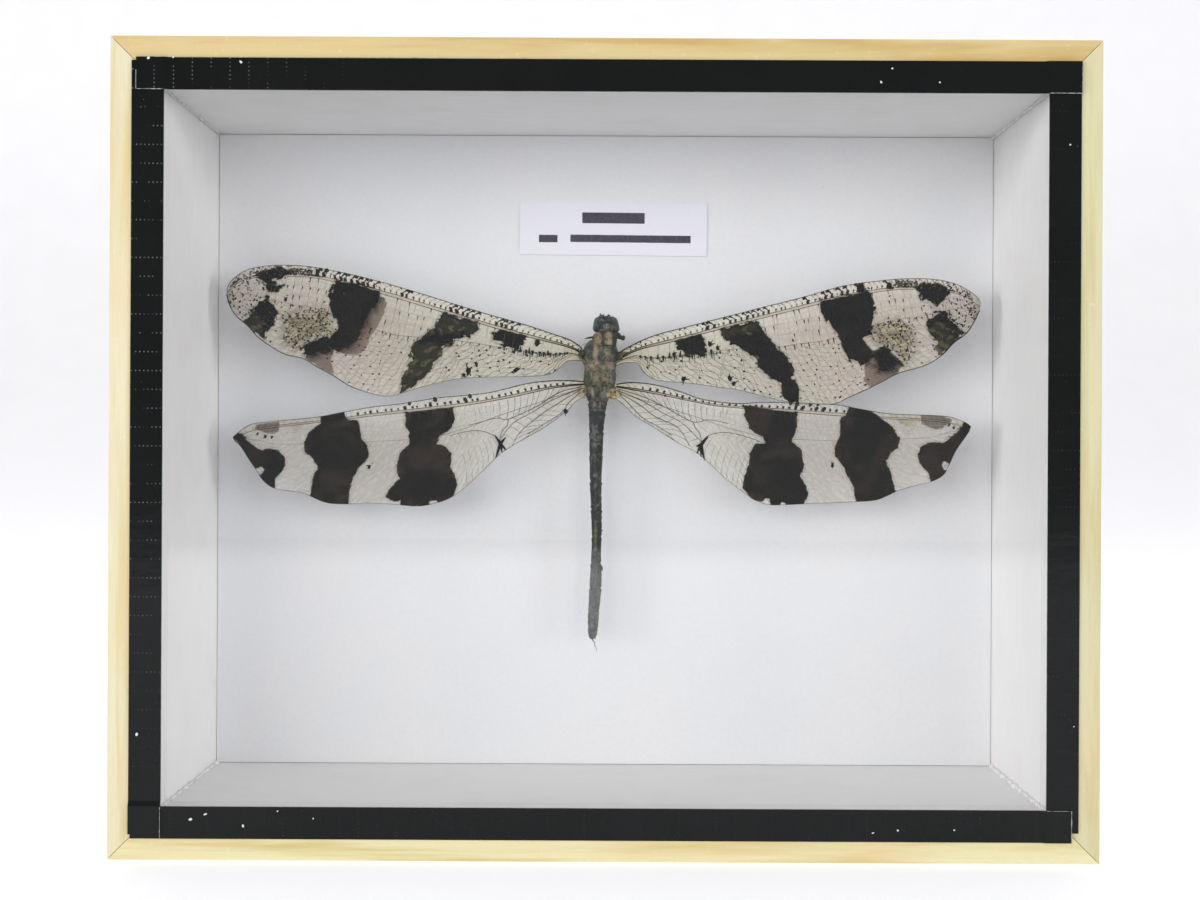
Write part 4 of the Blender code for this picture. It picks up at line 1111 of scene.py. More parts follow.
def make_thorax(skin):
    stations = [(5.8, 0.1, 1.4, 0.5, 0.6), (5.6, 0.05, 1.4, 1.6, 1.8), (5.1, 0.0, 1.4, 2.3, 2.5),
                (3.9, -0.15, 1.5, 2.8, 3.1), (2.5, -0.15, 1.6, 3.0, 3.3),
                (1.2, -0.2, 1.7, 2.75, 3.3), (0.0, -0.25, 1.8, 2.75, 3.2),
                (-1.4, -0.3, 1.8, 2.8, 3.1), (-2.6, -0.4, 1.9, 2.7, 3.0),
                (-3.5, -0.5, 2.0, 2.35, 2.7), (-4.4, -0.6, 2.1, 1.95, 2.3),
                (-5.0, -0.6, 2.2, 1.7, 2.0), (-5.1, -0.6, 2.2, 0.6, 0.8)]
    patches = [
        (-2.4, 3.9, 0.9, 2.0, srgb(50, 60, 52), 1.0), (2.5, 3.6, 0.9, 2.0, SLATE, 1.0),
        (-1.05, 3.0, 0.42, 1.9, PINK_TAN, 1.0), (0.9, 3.0, 0.5, 1.5, srgb(136, 132, 100), 1.0),
        (0.0, 3.2, 0.42, 1.6, srgb(78, 84, 72), 1.0), (-0.5, 2.2, 0.2, 0.4, DEEP, 1.0),
        (0.0, 1.95, 0.4, 0.45, srgb(84, 92, 98), 0.9), (1.05, 1.1, 0.35, 0.5, RUST, 0.9),
        (-1.2, 1.0, 0.85, 0.8, TAN, 0.95), (1.6, 0.8, 0.6, 1.0, PINK_TAN, 0.9),
        (0.35, 0.4, 0.6, 0.8, srgb(126, 124, 92), 0.9), (-0.3, 0.3, 0.25, 1.0, OLIVE, 0.9),
        (-2.4, 0.6, 0.5, 1.4, srgb(142, 122, 112), 0.8),
        (-2.5, -1.0, 0.7, 1.0, srgb(74, 80, 68), 1.0), (-1.7, -0.8, 0.14, 0.7, PALE, 0.45),
        (-0.9, -1.3, 0.8, 0.9, srgb(128, 122, 96), 0.9),
        (0.8, -1.1, 0.7, 1.0, srgb(140, 128, 98), 0.9),
        (1.7, -1.3, 0.2, 0.8, srgb(160, 154, 160), 0.55),
        (2.3, -1.0, 0.4, 1.3, srgb(88, 76, 74), 1.0),
        (-1.3, -2.5, 0.55, 0.16, DEEP, 1.0), (0.45, -2.5, 0.55, 0.16, BROWN, 1.0),
        (-0.4, -2.3, 0.3, 0.5, OLIVE, 0.6), (-2.3, -3.2, 0.6, 0.7, srgb(104, 108, 94), 0.9),
        (-1.5, -3.6, 0.25, 0.9, PALE, 0.5), (0.6, -3.6, 0.18, 0.9, PALE, 0.45),
        (1.4, -3.3, 0.35, 0.6, srgb(126, 140, 124), 0.9), (-0.5, -3.7, 0.5, 0.6, SLATE, 0.8),
        (1.1, -4.2, 0.3, 0.4, srgb(150, 148, 60), 0.5), (-2.2, -4.6, 0.5, 0.5, DEEP, 0.9),
    ]
    loft("thorax_skin", stations, patches, srgb(92, 88, 72), skin, ("thorax",), 170, 96,
         thorax_relief)


def make_pronotum(skin):
    stations = [(7.15, 0.75, 1.5, 0.4, 0.5), (7.0, 0.75, 1.5, 1.4, 1.5), (6.4, 0.66, 1.2, 2.05, 2.1),
                (5.6, 0.55, 1.0, 2.15, 2.5), (4.9, 0.45, 0.9, 2.15, 2.7), (4.4, 0.4, 0.9, 2.0, 2.75),
                (4.2, 0.35, 1.0, 1.5, 2.2), (4.1, 0.35, 1.0, 0.5, 0.8)]
    patches = [
        (-0.65, 5.4, 0.62, 1.6, TAN, 1.0), (1.2, 5.5, 0.72, 1.6, TAN, 1.0),
        (2.35, 5.2, 0.55, 2.0, srgb(44, 46, 54), 1.0), (-1.5, 5.4, 0.3, 1.8, BROWN, 0.9),
        (0.32, 5.5, 0.2, 1.8, srgb(66, 50, 26), 1.0), (0.35, 6.75, 0.5, 0.3, BROWN, 0.8),
        (-0.65, 4.4, 0.28, 0.12, DEEP, 1.0), (1.0, 4.4, 0.55, 0.13, DEEP, 1.0),
        (-0.9, 4.5, 0.5, 0.5, srgb(140, 118, 96), 0.6),
    ]
    loft("pronotum", stations, patches, srgb(70, 64, 52), skin, (), 90, 72, pronotum_relief)


def make_head(skin, eye):
    def relief(x, z, angle):
        push = 0.10 * rough(x, z, angle, 2.4) + 0.05 * rough(x, z, angle, 8.0, 2.0)
        return push + 0.12 * bump_at(x, z, 0.85, 7.8, 0.5, 0.5)

    stations = [(9.75, 0.75, 1.6, 0.3, 0.3), (9.6, 0.75, 1.6, 1.1, 0.9), (9.1, 0.75, 1.5, 1.5, 1.4),
                (8.3, 0.8, 1.4, 1.75, 1.7), (7.5, 0.85, 1.4, 1.7, 1.6), (7.0, 0.8, 1.5, 1.3, 1.3),
                (6.85, 0.8, 1.5, 0.4, 0.4)]
    patches = [
        (0.85, 7.75, 0.55, 0.5, LILAC, 0.95), (0.61, 7.82, 0.11, 0.24, DEEP, 1.0),
        (1.1, 7.82, 0.11, 0.24, DEEP, 1.0), (2.0, 7.6, 0.5, 0.6, srgb(108, 104, 72), 0.8),
        (0.3, 7.1, 1.0, 0.25, srgb(136, 120, 92), 0.9), (0.85, 7.0, 0.22, 0.2, BROWN, 1.0),
        (-0.1, 8.5, 0.5, 0.5, srgb(46, 56, 64), 0.7),
    ]
    loft("head_skin", stations, patches, srgb(38, 44, 46), skin, ("head",), 80, 64, relief)

    for side, x, z, lean in (("left", -0.72, 8.2, -0.10), ("right", 2.25, 8.2, 0.16)):
        stations = [(z + 1.32, x - lean, 1.2, 0.1, 0.1), (z + 1.2, x - lean, 1.2, 0.40, 0.5),
                    (z + 0.8, x - lean * 0.6, 1.2, 0.62, 0.85), (z, x, 1.2, 0.74, 1.1),
                    (z - 0.8, x + lean, 1.2, 0.70, 0.9), (z - 1.2, x + lean, 1.2, 0.45, 0.5),
                    (z - 1.32, x + lean, 1.2, 0.1, 0.1)]
        loft("eye_" + side, stations, [], srgb(52, 60, 58), eye, (), 40, 40)


def make_mouth(vein):
    """Jaws at the front of the head and the stubs of broken feelers."""
    batch = Batch()
    places = [((0.25, 1.2, 9.3), (-0.2, 1.0, 9.85), (-0.22, 1.0, 10.2), 0.2),
              ((0.9, 1.2, 9.3), (1.15, 1.0, 9.8), (1.2, 1.0, 10.0), 0.17),
              ((0.1, 1.6, 9.2), (0.25, 1.5, 9.9), (0.45, 1.4, 9.95), 0.22),
              ((1.5, 1.6, 9.2), (1.3, 1.5, 9.85), (1.05, 1.4, 9.9), 0.22),
              ((-0.3, 1.0, 9.1), (-0.45, 0.9, 9.6), (-0.4, 0.9, 9.8), 0.16),
              ((1.8, 1.0, 9.1), (2.0, 0.9, 9.5), (1.95, 0.9, 9.7), 0.14)]
    for *points, radius in places:
        batch.tube(from_specimen(points), np.array([1.0, 0.8, 0.25]) * radius * MM, 0.92, 0.2,
                   sides=8)
    batch.build("jaws", vein)


def make_abdomen(skin):
    stations = [(-4.2, -0.5, 2.2, 0.9, 0.9), (-4.6, -0.55, 2.3, 1.55, 1.6),
                (-5.6, -0.6, 2.4, 1.6, 1.65), (-7.4, -0.65, 2.45, 1.42, 1.5),
                (-9.3, -0.75, 2.5, 1.30, 1.35), (-12.5, -0.8, 2.55, 1.18, 1.2),
                (-17.2, -0.9, 2.6, 1.02, 1.1), (-21.0, -0.9, 2.7, 0.94, 1.0),
                (-25.0, -0.8, 2.75, 0.90, 0.95), (-29.0, -0.75, 2.8, 0.82, 0.9),
                (-31.6, -0.8, 2.9, 0.84, 0.9), (-35.9, -0.8, 3.0, 1.0, 1.0),
                (-38.5, -0.95, 3.05, 1.02, 1.05), (-40.9, -1.1, 3.1, 0.96, 1.0),
                (-43.8, -1.25, 3.15, 0.88, 0.9), (-45.7, -1.32, 3.2, 0.72, 0.8),
                (-46.3, -1.36, 3.2, 0.5, 0.55), (-46.5, -1.38, 3.2, 0.2, 0.2)]
    patches = [(-0.8, -39.5, 3.0, 7.5, srgb(96, 98, 98), 0.9),
               (-0.9, -28.5, 0.3, 2.6, srgb(112, 110, 86), 0.8),
               (-0.6, -5.4, 1.6, 0.8, srgb(84, 84, 78), 0.9), (-0.6, -6.6, 1.5, 0.12, PALE, 0.22),
               (-0.2, -5.6, 0.15, 0.9, PALE, 0.5), (-1.3, -5.4, 0.14, 0.8, PALE, 0.5),
               # The small pale dot at x -0.75, z -9.5 is a painted highlight.
               (-0.75, -9.5, 0.16, 0.4, PALE, 0.5), (-1.1, -13.5, 0.2, 3.0, srgb(88, 92, 90), 0.7),
               (0.0, -13.0, 0.5, 4.0, DEEP, 0.6), (-0.9, -20.0, 0.15, 3.0, srgb(84, 88, 86), 0.6),
               (-0.2, -33.8, 0.5, 1.6, DEEP, 0.5), (-1.3, -45.4, 0.25, 0.5, BROWN, 0.8)]
    loft("abdomen_skin", stations, patches, SLATE, skin, ("abdomen",), 520, 64, abdomen_relief)


def make_tail(vein):
    """The torn thread at the tail and the stub beside the abdomen."""
    batch = Batch()
    threads = [([(-1.7, 3.1, -46.2), (-1.0, 2.9, -47.0), (-0.95, 2.8, -47.5), (-0.62, 2.7, -48.2),
                 (-0.72, 2.7, -48.6)], 0.11, 0.03),
               ([(-1.35, 3.1, -46.2), (-1.25, 3.0, -46.7), (-1.3, 3.0, -47.0)], 0.09, 0.04),
               ([(-1.0, 3.1, -46.1), (-0.85, 3.0, -46.4), (-0.8, 3.0, -46.55)], 0.12, 0.05),
               ([(-0.4, 2.6, -27.2), (0.1, 2.4, -27.5), (0.35, 2.3, -27.45)], 0.26, 0.10),
               ([(-0.3, 2.7, -33.4), (0.25, 2.5, -33.9), (0.3, 2.5, -34.5)], 0.24, 0.12)]
    for points, start, end in threads:
        curve = from_specimen(even_curve(points, 12))
        batch.tube(curve, np.linspace(start, end, len(curve)) * MM, 0.85, 0.1, sides=6)
    batch.build("tail_threads", vein)


def make_wing_roots(skin, vein):
    """The hinge plates where the wings join the thorax."""
    plates = [
        ("fore_left", -3.35, 2.9, 0.55, 0.9, 0.6, srgb(58, 60, 44), []),
        ("fore_right", 3.1, 2.7, 0.65, 0.7, 0.7, srgb(52, 54, 36),
         [(3.45, 2.7, 0.25, 0.3, srgb(120, 112, 60), 0.8)]),
        ("hind_left", -3.45, -3.3, 0.8, 1.2, 0.35, AMBER,
         [(-3.8, -3.5, 0.2, 0.22, srgb(96, 52, 36), 1.0), (-3.3, -4.3, 0.7, 0.28, DEEP, 1.0),
          (-4.1, -2.6, 0.4, 0.3, BROWN, 0.9), (-3.2, -2.9, 0.14, 0.3, BROWN, 0.9),
          (-3.5, -3.9, 0.3, 0.1, BROWN, 0.9), (-3.0, -3.4, 0.3, 1.2, DEEP, 0.8)]),
        ("hind_right", 2.2, -3.7, 1.35, 1.05, 0.35, AMBER,
         [(2.8, -3.1, 0.2, 0.2, BROWN, 1.0), (3.1, -4.1, 0.3, 0.14, BROWN, 0.9),
          (2.1, -2.75, 0.9, 0.28, BROWN, 1.0), (3.2, -3.2, 0.3, 0.2, srgb(120, 60, 50), 0.9),
          (2.3, -3.7, 0.12, 0.5, BROWN, 0.8), (1.6, -4.0, 0.3, 0.8, srgb(150, 130, 84), 0.9),
          (2.4, -4.7, 1.1, 0.14, RUST, 0.8)]),
    ]

    def relief(x, z, angle):
        return 0.34 * rough(x, z, angle, 1.6, 7.0) + 0.14 * rough(x, z, angle, 5.0, 4.0)

    for name, x, z, wide, high, deep, base, patches in plates:
        stations = [(z + high * math.cos(a), x, 0.1, wide * math.sin(a) + 0.02,
                     deep * math.sin(a) + 0.02) for a in np.linspace(0.05, math.pi - 0.05, 9)]
        loft("hinge_" + name, stations, patches, base, skin, (), 40, 40, relief)
    batch = Batch()
    stalks = [([(-4.1, -0.2, 2.9), (-3.5, -0.5, 2.1), (-2.9, -0.6, 1.3)], (0.12, 0.2, 0.22),
               0.62, 0.8),
              ([(4.6, 0.0, 3.3), (3.8, -0.4, 3.1), (3.0, -0.6, 2.9)], (0.14, 0.2, 0.2),
               0.8, 0.5)]
    for points, radii, tone, warmth in stalks:
        batch.tube(from_specimen(points), np.array(radii) * MM, tone, warmth, sides=8)
    batch.build("wing_stalks", vein)


# Along a leg in mm: out from the body's middle, depth, share of its fold, radius
LEG_SPINE = ((1.0, 4.6, 0.0, 0.34), (1.55, 5.6, 0.05, 0.30), (1.7, 6.6, 0.35, 0.22),
             (1.4, 7.3, 0.7, 0.16), (1.0, 7.5, 1.0, 0.08))
HAIRS = 260


def make_hairs():
    """Short pale hairs on the thorax and round the wing roots."""
    batch = Batch()
    for _ in range(HAIRS):
        z = rng.uniform(-4.6, 5.4)
        angle = rng.uniform(-0.1, math.pi + 0.1)
        x = -0.2 + 2.75 * math.cos(angle)
        y = 1.6 - 3.1 * math.sin(angle)
        root = np.array((x, y, z))
        outward = np.array((math.cos(angle), -math.sin(angle), rng.uniform(-0.9, 0.3)))
        length = rng.uniform(0.35, 0.9)
        bend = np.array((rng.uniform(-0.3, 0.3), 0.0, -0.5)) * length
        points = [root + outward * length * t + bend * t * t for t in (0.0, 0.5, 1.0)]
        batch.tube(from_specimen(points), np.array([0.02, 0.016, 0.006]) * MM,
                   rng.choice((0.1, 0.3, 0.6)), 0.2, sides=3)
    paint = Paint("hair")
    shade = paint.blend(paint.read("tone"), srgb(196, 190, 170), srgb(70, 62, 48))
    shade = paint.blend(paint.noise(2000, 2), shade, srgb(120, 112, 92))
    batch.build("thorax_hairs", paint.finish(shade, 0.5))


def dress(material, *names, bevel=0.0):
    """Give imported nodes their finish, and slightly rounded edges where asked."""
    for name in names:
        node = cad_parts[name]
        node.data.materials.clear()
        node.data.materials.append(material)
        if bevel:
            edges = node.modifiers.new("soft_edges", "BEVEL")
            edges.width = bevel
            edges.segments = 2
            edges.limit_method = "ANGLE"


def make_limbs():
    """Six legs folded under the thorax, the stubs of the feelers, and the dab of glue."""
    paint = Paint("limb")
    fine = paint.noise(5000, 4)
    bands = paint.noise(700, 2, place=paint.stretch((1.0, 1.0, 2.0)))
    colour = paint.blend(fine, srgb(24, 30, 30), srgb(58, 62, 56))
    colour = paint.blend(paint.step(bands, 0.55, 0.7), colour, srgb(84, 74, 52))
    limb = paint.finish(colour, 0.4, Normal=paint.bump(fine, 0.00005))
    for pair, start, fold in (("fore", 4.4, 2.8), ("mid", 1.4, 3.4), ("hind", -1.8, 3.6)):
        for side, way in (("left", -1), ("right", 1)):
            spine = [(-0.2 + way * out, back, start - share * fold, radius)
                     for out, back, share, radius in LEG_SPINE]
            path = even_curve(spine, 30)
            batch = Batch()
            batch.tube(from_specimen(path[:, :3]), path[:, 3] * MM, 0.9, 0.0, sides=12)
            batch.build(f"folded_leg_{pair}_{side}", limb, (f"leg_{pair}_{side}",))
    feelers = {
        "left": ([(0.4, 3.0, 8.8), (0.2, 3.6, 7.4), (-0.7, 3.4, 6.4), (-1.6, 2.6, 6.12),
                  (-2.3, 2.3, 5.98), (-2.95, 2.2, 5.84)], [0.16, 0.16, 0.16, 0.18, 0.16, 0.04]),
        "right": ([(1.3, 3.0, 8.8), (2.1, 3.4, 7.7), (2.6, 2.8, 6.8), (2.95, 2.3, 6.3),
                   (3.35, 2.0, 6.1), (3.7, 1.9, 5.98), (3.98, 1.9, 5.95), (4.1, 1.9, 5.93)],
                  [0.2, 0.3, 0.42, 0.5, 0.34, 0.46, 0.40, 0.12]),
    }
    for side, (points, radii) in feelers.items():
        path = even_curve([(*point, radius) for point, radius in zip(points, radii)], 40)
        batch = Batch()
        rings = path[:, 3] * (1 + 0.10 * np.cos(np.arange(len(path)) * 2.1))
        batch.tube(from_specimen(path[:, :3]), rings * MM, 0.9, 0.0, sides=14)
        batch.build("feeler_" + side, limb, ("antenna_" + side,))

    paint = Paint("glue_clear")
    lumps = paint.noise(900, 3)
    colour = paint.blend(lumps, srgb(196, 178, 130), srgb(226, 214, 180))
    rough_glue = paint.calc("MULTIPLY_ADD", lumps, 0.3, 0.15)
    dress(paint.finish(colour, rough_glue, Transmission_Weight=0.4, IOR=1.48,
                       Normal=paint.bump(lumps, 0.0002)), "glue_dab")


def make_body():
    skin = cuticle_material()
    eye_paint = Paint("eye_facets")
    facets = eye_paint.cells(9000)
    sheen = eye_paint.noise(900, 2)
    colour = eye_paint.blend(eye_paint.step(sheen, 0.4, 0.7), srgb(24, 30, 31), srgb(66, 76, 74))
    eye = eye_paint.finish(colour, 0.28, Normal=eye_paint.bump(facets, 0.00003),
                           Coat_Weight=0.3)
    vein = vein_material()
    make_thorax(skin)
    make_pronotum(skin)
    make_head(skin, eye)
    make_mouth(vein)
    make_abdomen(skin)
    make_tail(vein)
    make_wing_roots(skin, vein)
    make_hairs()
    make_limbs()


# ---------------------------------------------------------------------- box

BOX_HIGH = CAD_BOX[1][2]
BOX_HALF = high("side_bottom").x
WALL = 7.5 * MM
CORNER_X = BOX_HALF - WALL
CARD_LOW = WALL
CARD_HIGH = high("side_top").z - WALL


def side_material(name, along, pale, golden):
    """Pine outside and white paint inside; along is the axis that the grain follows."""
    paint = Paint(name)
    x, _, z = paint.split()
    long_way = (1.0, 14.0, 14.0) if along == "x" else (14.0, 14.0, 1.0)
    fibre_way = (1.0, 30.0, 30.0) if along == "x" else (30.0, 30.0, 1.0)
    rings = paint.noise(22, 4, place=paint.stretch(long_way), bend=0.4)
    fibres = paint.noise(90, 4, place=paint.stretch(fibre_way), rough=0.7)
    clouds = paint.noise(30, 3)
    base = paint.blend(paint.step(rings, 0.42, 0.68), pale, golden)
    base = paint.lay(base, paint.step(clouds, 0.45, 0.7), 0.35, srgb(216, 188, 140))
    base = paint.lay(base, fibres, 0.28, srgb(186, 162, 112))
    wear = paint.step(paint.noise(1200, 3), 0.62, 0.75)
    base = paint.lay(base, wear, 0.1, srgb(250, 244, 224))

    inward_x = paint.calc("SUBTRACT", BOX_HALF, paint.calc("ABSOLUTE", x))
    inward_z = paint.calc("MINIMUM", z, paint.calc("SUBTRACT", BOX_HIGH, z))
    inward = paint.calc("MINIMUM", inward_x, inward_z)
    painted = paint.step(inward, WALL - 0.25 * MM, WALL - 0.12 * MM)
    brushed = paint.noise(160, 5, place=paint.stretch(fibre_way), rough=0.6)
    white = paint.blend(paint.step(brushed, 0.3, 0.75), srgb(252, 251, 251), srgb(243, 242, 242))
    patch = paint.noise(90, 3)
    white = paint.lay(white, paint.step(patch, 0.5, 0.75), 0.25, srgb(236, 222, 218))
    colour = paint.blend(painted, base, white)
    height = paint.calc("MULTIPLY_ADD", fibres, 0.6, paint.calc("MULTIPLY", brushed, 0.4))
    roughness = paint.calc("MULTIPLY_ADD", fibres, 0.2, 0.42)
    return paint.finish(colour, roughness, Normal=paint.bump(height, 0.00010),
                        Specular_IOR_Level=0.35)


# Spacing of the tape's rows of pinpricks and of the pinpricks in a row, and their radius
TAPE_ROW = 2.9 * MM
TAPE_DOT = 0.64 * MM
TAPE_PRICK = 0.11 * MM


def tape_material(name, along, stippled):
    """Glossy black tape with rows of pinpricks, strong between the two places in stippled."""
    paint = Paint(name)
    x, _, z = paint.split()
    if along == "z":
        x, z = z, x
    row = paint.calc("PINGPONG", x, TAPE_ROW / 2)
    dot = paint.calc("PINGPONG", z, TAPE_DOT / 2)
    spot = paint.calc("ADD", paint.calc("POWER", paint.calc("DIVIDE", row, TAPE_PRICK), 2.0),
                      paint.calc("POWER", paint.calc("DIVIDE", dot, TAPE_PRICK), 2.0))
    spot = paint.calc("SUBTRACT", 1.0, paint.step(spot, 0.5, 1.4))
    present = paint.step(paint.noise(420, 2), 0.40, 0.62)
    spot = paint.calc("MULTIPLY", spot, present)
    spot = paint.calc("MULTIPLY", spot, paint.step(x, *stippled) if stippled else 0.12)
    dust = paint.step(paint.noise(2600, 2), 0.74, 0.80)
    film = paint.noise(70, 4)
    wrinkle = paint.noise(140, 3, place=paint.stretch((1.0, 1.0, 3.0)))
    colour = paint.blend(film, (0.003, 0.0035, 0.0035), (0.007, 0.008, 0.008))
    colour = paint.lay(colour, spot, 0.6, srgb(110, 124, 124))
    colour = paint.lay(colour, dust, 0.25, srgb(150, 156, 156))
    height = paint.calc("MULTIPLY_ADD", spot, 0.5, paint.calc("MULTIPLY", wrinkle, 0.5))
    roughness = paint.calc("MULTIPLY_ADD", film, 0.14, 0.08)
    return paint.finish(colour, roughness, Normal=paint.bump(height, 0.00008),
                        Specular_IOR_Level=0.2)


def glass_material():
    """Clear glass with faint smears, which lets the lamps' light through unbent."""
    paint = Paint("pane_glass")
    smears = paint.noise(60, 1)
    roughness = paint.calc("MULTIPLY", paint.step(smears, 0.45, 0.8), 0.02)
    clear = paint.node("BsdfPrincipled", {
        "Base Color": (0.995, 1.0, 0.998), "Roughness": roughness, "IOR": 1.45,
        "Transmission Weight": 1.0, "Specular IOR Level": 0.09})
    open_way = paint.node("BsdfTransparent", {"Color": (0.98, 0.985, 0.983)})
    shadow = paint.node("LightPath").outputs["Is Shadow Ray"]
    mix = paint.node("MixShader", {0: shadow, 1: clear.outputs[0], 2: open_way.outputs[0]})
    paint.tree.links.new(mix.outputs[0], paint.node("OutputMaterial").inputs["Surface"])
    return paint.material


def make_case():
    """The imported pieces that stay, each with its own finish."""
    for side, along, pale, golden in (
            ("top", "x", srgb(198, 182, 134), srgb(182, 152, 92)),
            ("bottom", "x", srgb(216, 211, 171), srgb(196, 180, 122)),
            ("left", "z", srgb(214, 210, 184), srgb(202, 190, 146)),
            ("right", "z", srgb(198, 196, 162), srgb(184, 175, 128))):
        dress(side_material("pine_" + side, along, pale, golden), "side_" + side, bevel=0.1 * MM)
    dress(glass_material(), "glass_pane", bevel=0.1 * MM)
    for name, along, stippled, node in (
            ("tape_plain_x", "x", None, "tape_bottom"),
            ("tape_plain_z", "z", None, "tape_right"),
            ("tape_dotted_x", "x", (-0.035, -0.065), "tape_top"),
            ("tape_dotted_z", "z", (0.005, 0.06), "tape_left")):
        dress(tape_material(name, along, stippled), node)

    paint = Paint("card")
    fibre = paint.noise(1500, 4)
    cloud = paint.noise(45, 3)
    colour = paint.blend(paint.step(cloud, 0.35, 0.65), srgb(240, 241, 245), srgb(243, 242, 245))
    colour = paint.lay(colour, paint.step(fibre, 0.4, 0.7), 0.18, srgb(222, 223, 228))
    dress(paint.finish(colour, 0.7, Normal=paint.bump(fibre, 0.00003)), "mount_card")

    paint = Paint("label")
    fibre = paint.noise(2500, 3)
    colour = paint.blend(fibre, srgb(240, 238, 250), srgb(247, 246, 254))
    dress(paint.finish(colour, 0.55, Normal=paint.bump(fibre, 0.00002)), "name_label")

    paint = Paint("hardboard_back")
    chips = paint.noise(700, 5, rough=0.7)
    flecks = paint.cells(900)
    colour = paint.blend(chips, srgb(112, 78, 48), srgb(150, 112, 74))
    colour = paint.lay(colour, paint.step(flecks, 0.5, 0.2), 0.4, srgb(92, 60, 36))
    dress(paint.finish(colour, 0.7, Normal=paint.bump(chips, 0.00015)), "back_board")

    paint = Paint("steel")
    brushed = paint.noise(500, 4, place=paint.stretch((1.0, 1.0, 12.0)))
    tarnish = paint.noise(350, 3)
    colour = paint.blend(paint.step(tarnish, 0.4, 0.7), srgb(196, 186, 150), srgb(150, 140, 112))
    shine = paint.calc("MULTIPLY_ADD", brushed, 0.25, 0.22)
    dress(paint.finish(colour, shine, Metallic=1.0, Normal=paint.bump(brushed, 0.00003)),
          "hanger", "hanger_nail_left", "hanger_nail_right", bevel=0.08 * MM)


def lumpy_material(name, pale, shade):
    paint = Paint(name)
    lumps = paint.noise(1800, 4)
    colour = paint.blend(paint.step(lumps, 0.4, 0.7), pale, shade)
    return paint.finish(colour, 0.6, Normal=paint.bump(lumps, 0.0001))


# Radius in mm of the filler in each inside corner: (left or right, top or bottom)
FILLER = {(-1, 1): 0.24, (1, 1): 0.30, (-1, 0): 0.28, (1, 0): 0.42}
FILLER_INSET = 0.12 * MM


def make_corner_beads():
    """Filler pressed into the four inside corners of the box, uneven and with gaps."""
    batch = Batch()
    start, end = FRONT_Y + 2.2 * MM, CARD_Y
    taper = np.sin(np.linspace(0.35, math.pi - 0.35, 9))
    for (side, top), radius in FILLER.items():
        x = side * (CORNER_X - 0.05 * MM)
        z = CARD_HIGH - 0.05 * MM if top else CARD_LOW + 0.05 * MM
        inward = -FILLER_INSET if top else FILLER_INSET
        y = start
        while y < end:
            stop = min(y + rng.uniform(1.2, 5.0) * MM, end)
            steps = np.linspace(y, stop, len(taper))
            wave = np.array([noise.noise(Vector((step * 900, side * 5.0, top * 9.0)))
                             for step in steps])
            points = np.column_stack([x - side * FILLER_INSET * (1 + wave), steps,
                                      z + inward * (1 - wave)])
            radii = radius * MM * taper * (1 + 1.2 * wave) + 0.02 * MM
            batch.tube(points, radii, 0.0, 0.0, sides=8)
            y = stop + rng.choice((0.0, 0.1, 0.35)) * MM
    filler = lumpy_material("filler", srgb(246, 245, 244), srgb(226, 222, 216))
    batch.build("corner_filler", filler)


def make_tape_edges():
    """Pale lines along the ends of the tape strips that lap over the others: painted glints where
    light catches the raised ends.
    """
    batch = Batch()
    face = low("tape_top").y
    left, right = low("tape_top").x, high("tape_top").x
    bottom_right = high("tape_bottom").x
    inner_left, inner_right = high("tape_left").x, low("tape_right").x
    top_low, top_high = low("tape_top").z, high("tape_top").z
    bottom_low, bottom_high = low("tape_bottom").z, high("tape_bottom").z
    lines = [
        ((left, top_low), (inner_left, top_low), 0.075),
        ((left, top_low), (left, top_high - 2 * MM), 0.05),
        ((inner_right, top_low), (right, top_low), 0.08),
        ((right, top_low), (right, top_high - 1 * MM), 0.07),
        ((left + 1 * MM, top_high), (left + 60 * MM, top_high), 0.03),
        ((bottom_right, bottom_low), (bottom_right, bottom_high), 0.075),
        ((inner_right, bottom_high), (bottom_right, bottom_high), 0.05),
        ((inner_left, bottom_low), (inner_left, bottom_high), 0.06),
    ]
    steps = 24
    for start, end, radius in lines:
        points, radii = [], []
        for k in range(steps + 1):
            t = k / steps
            x = start[0] + (end[0] - start[0]) * t
            z = start[1] + (end[1] - start[1]) * t
            ragged = noise.noise(Vector((x * 1500, z * 1500, radius * 90)))
            points.append((x, face - 0.02 * MM, z))
            radii.append(radius * MM * max(0.15, 0.75 + 0.9 * ragged))
        batch.tube(points, radii, 0.0, 0.0, sides=6)
    # Grey-green finish of the painted glints along the tape ends.
    glint = lumpy_material("edge_glint", srgb(150, 158, 156), srgb(70, 78, 76))
    batch.build("tape_edge_glints", glint)


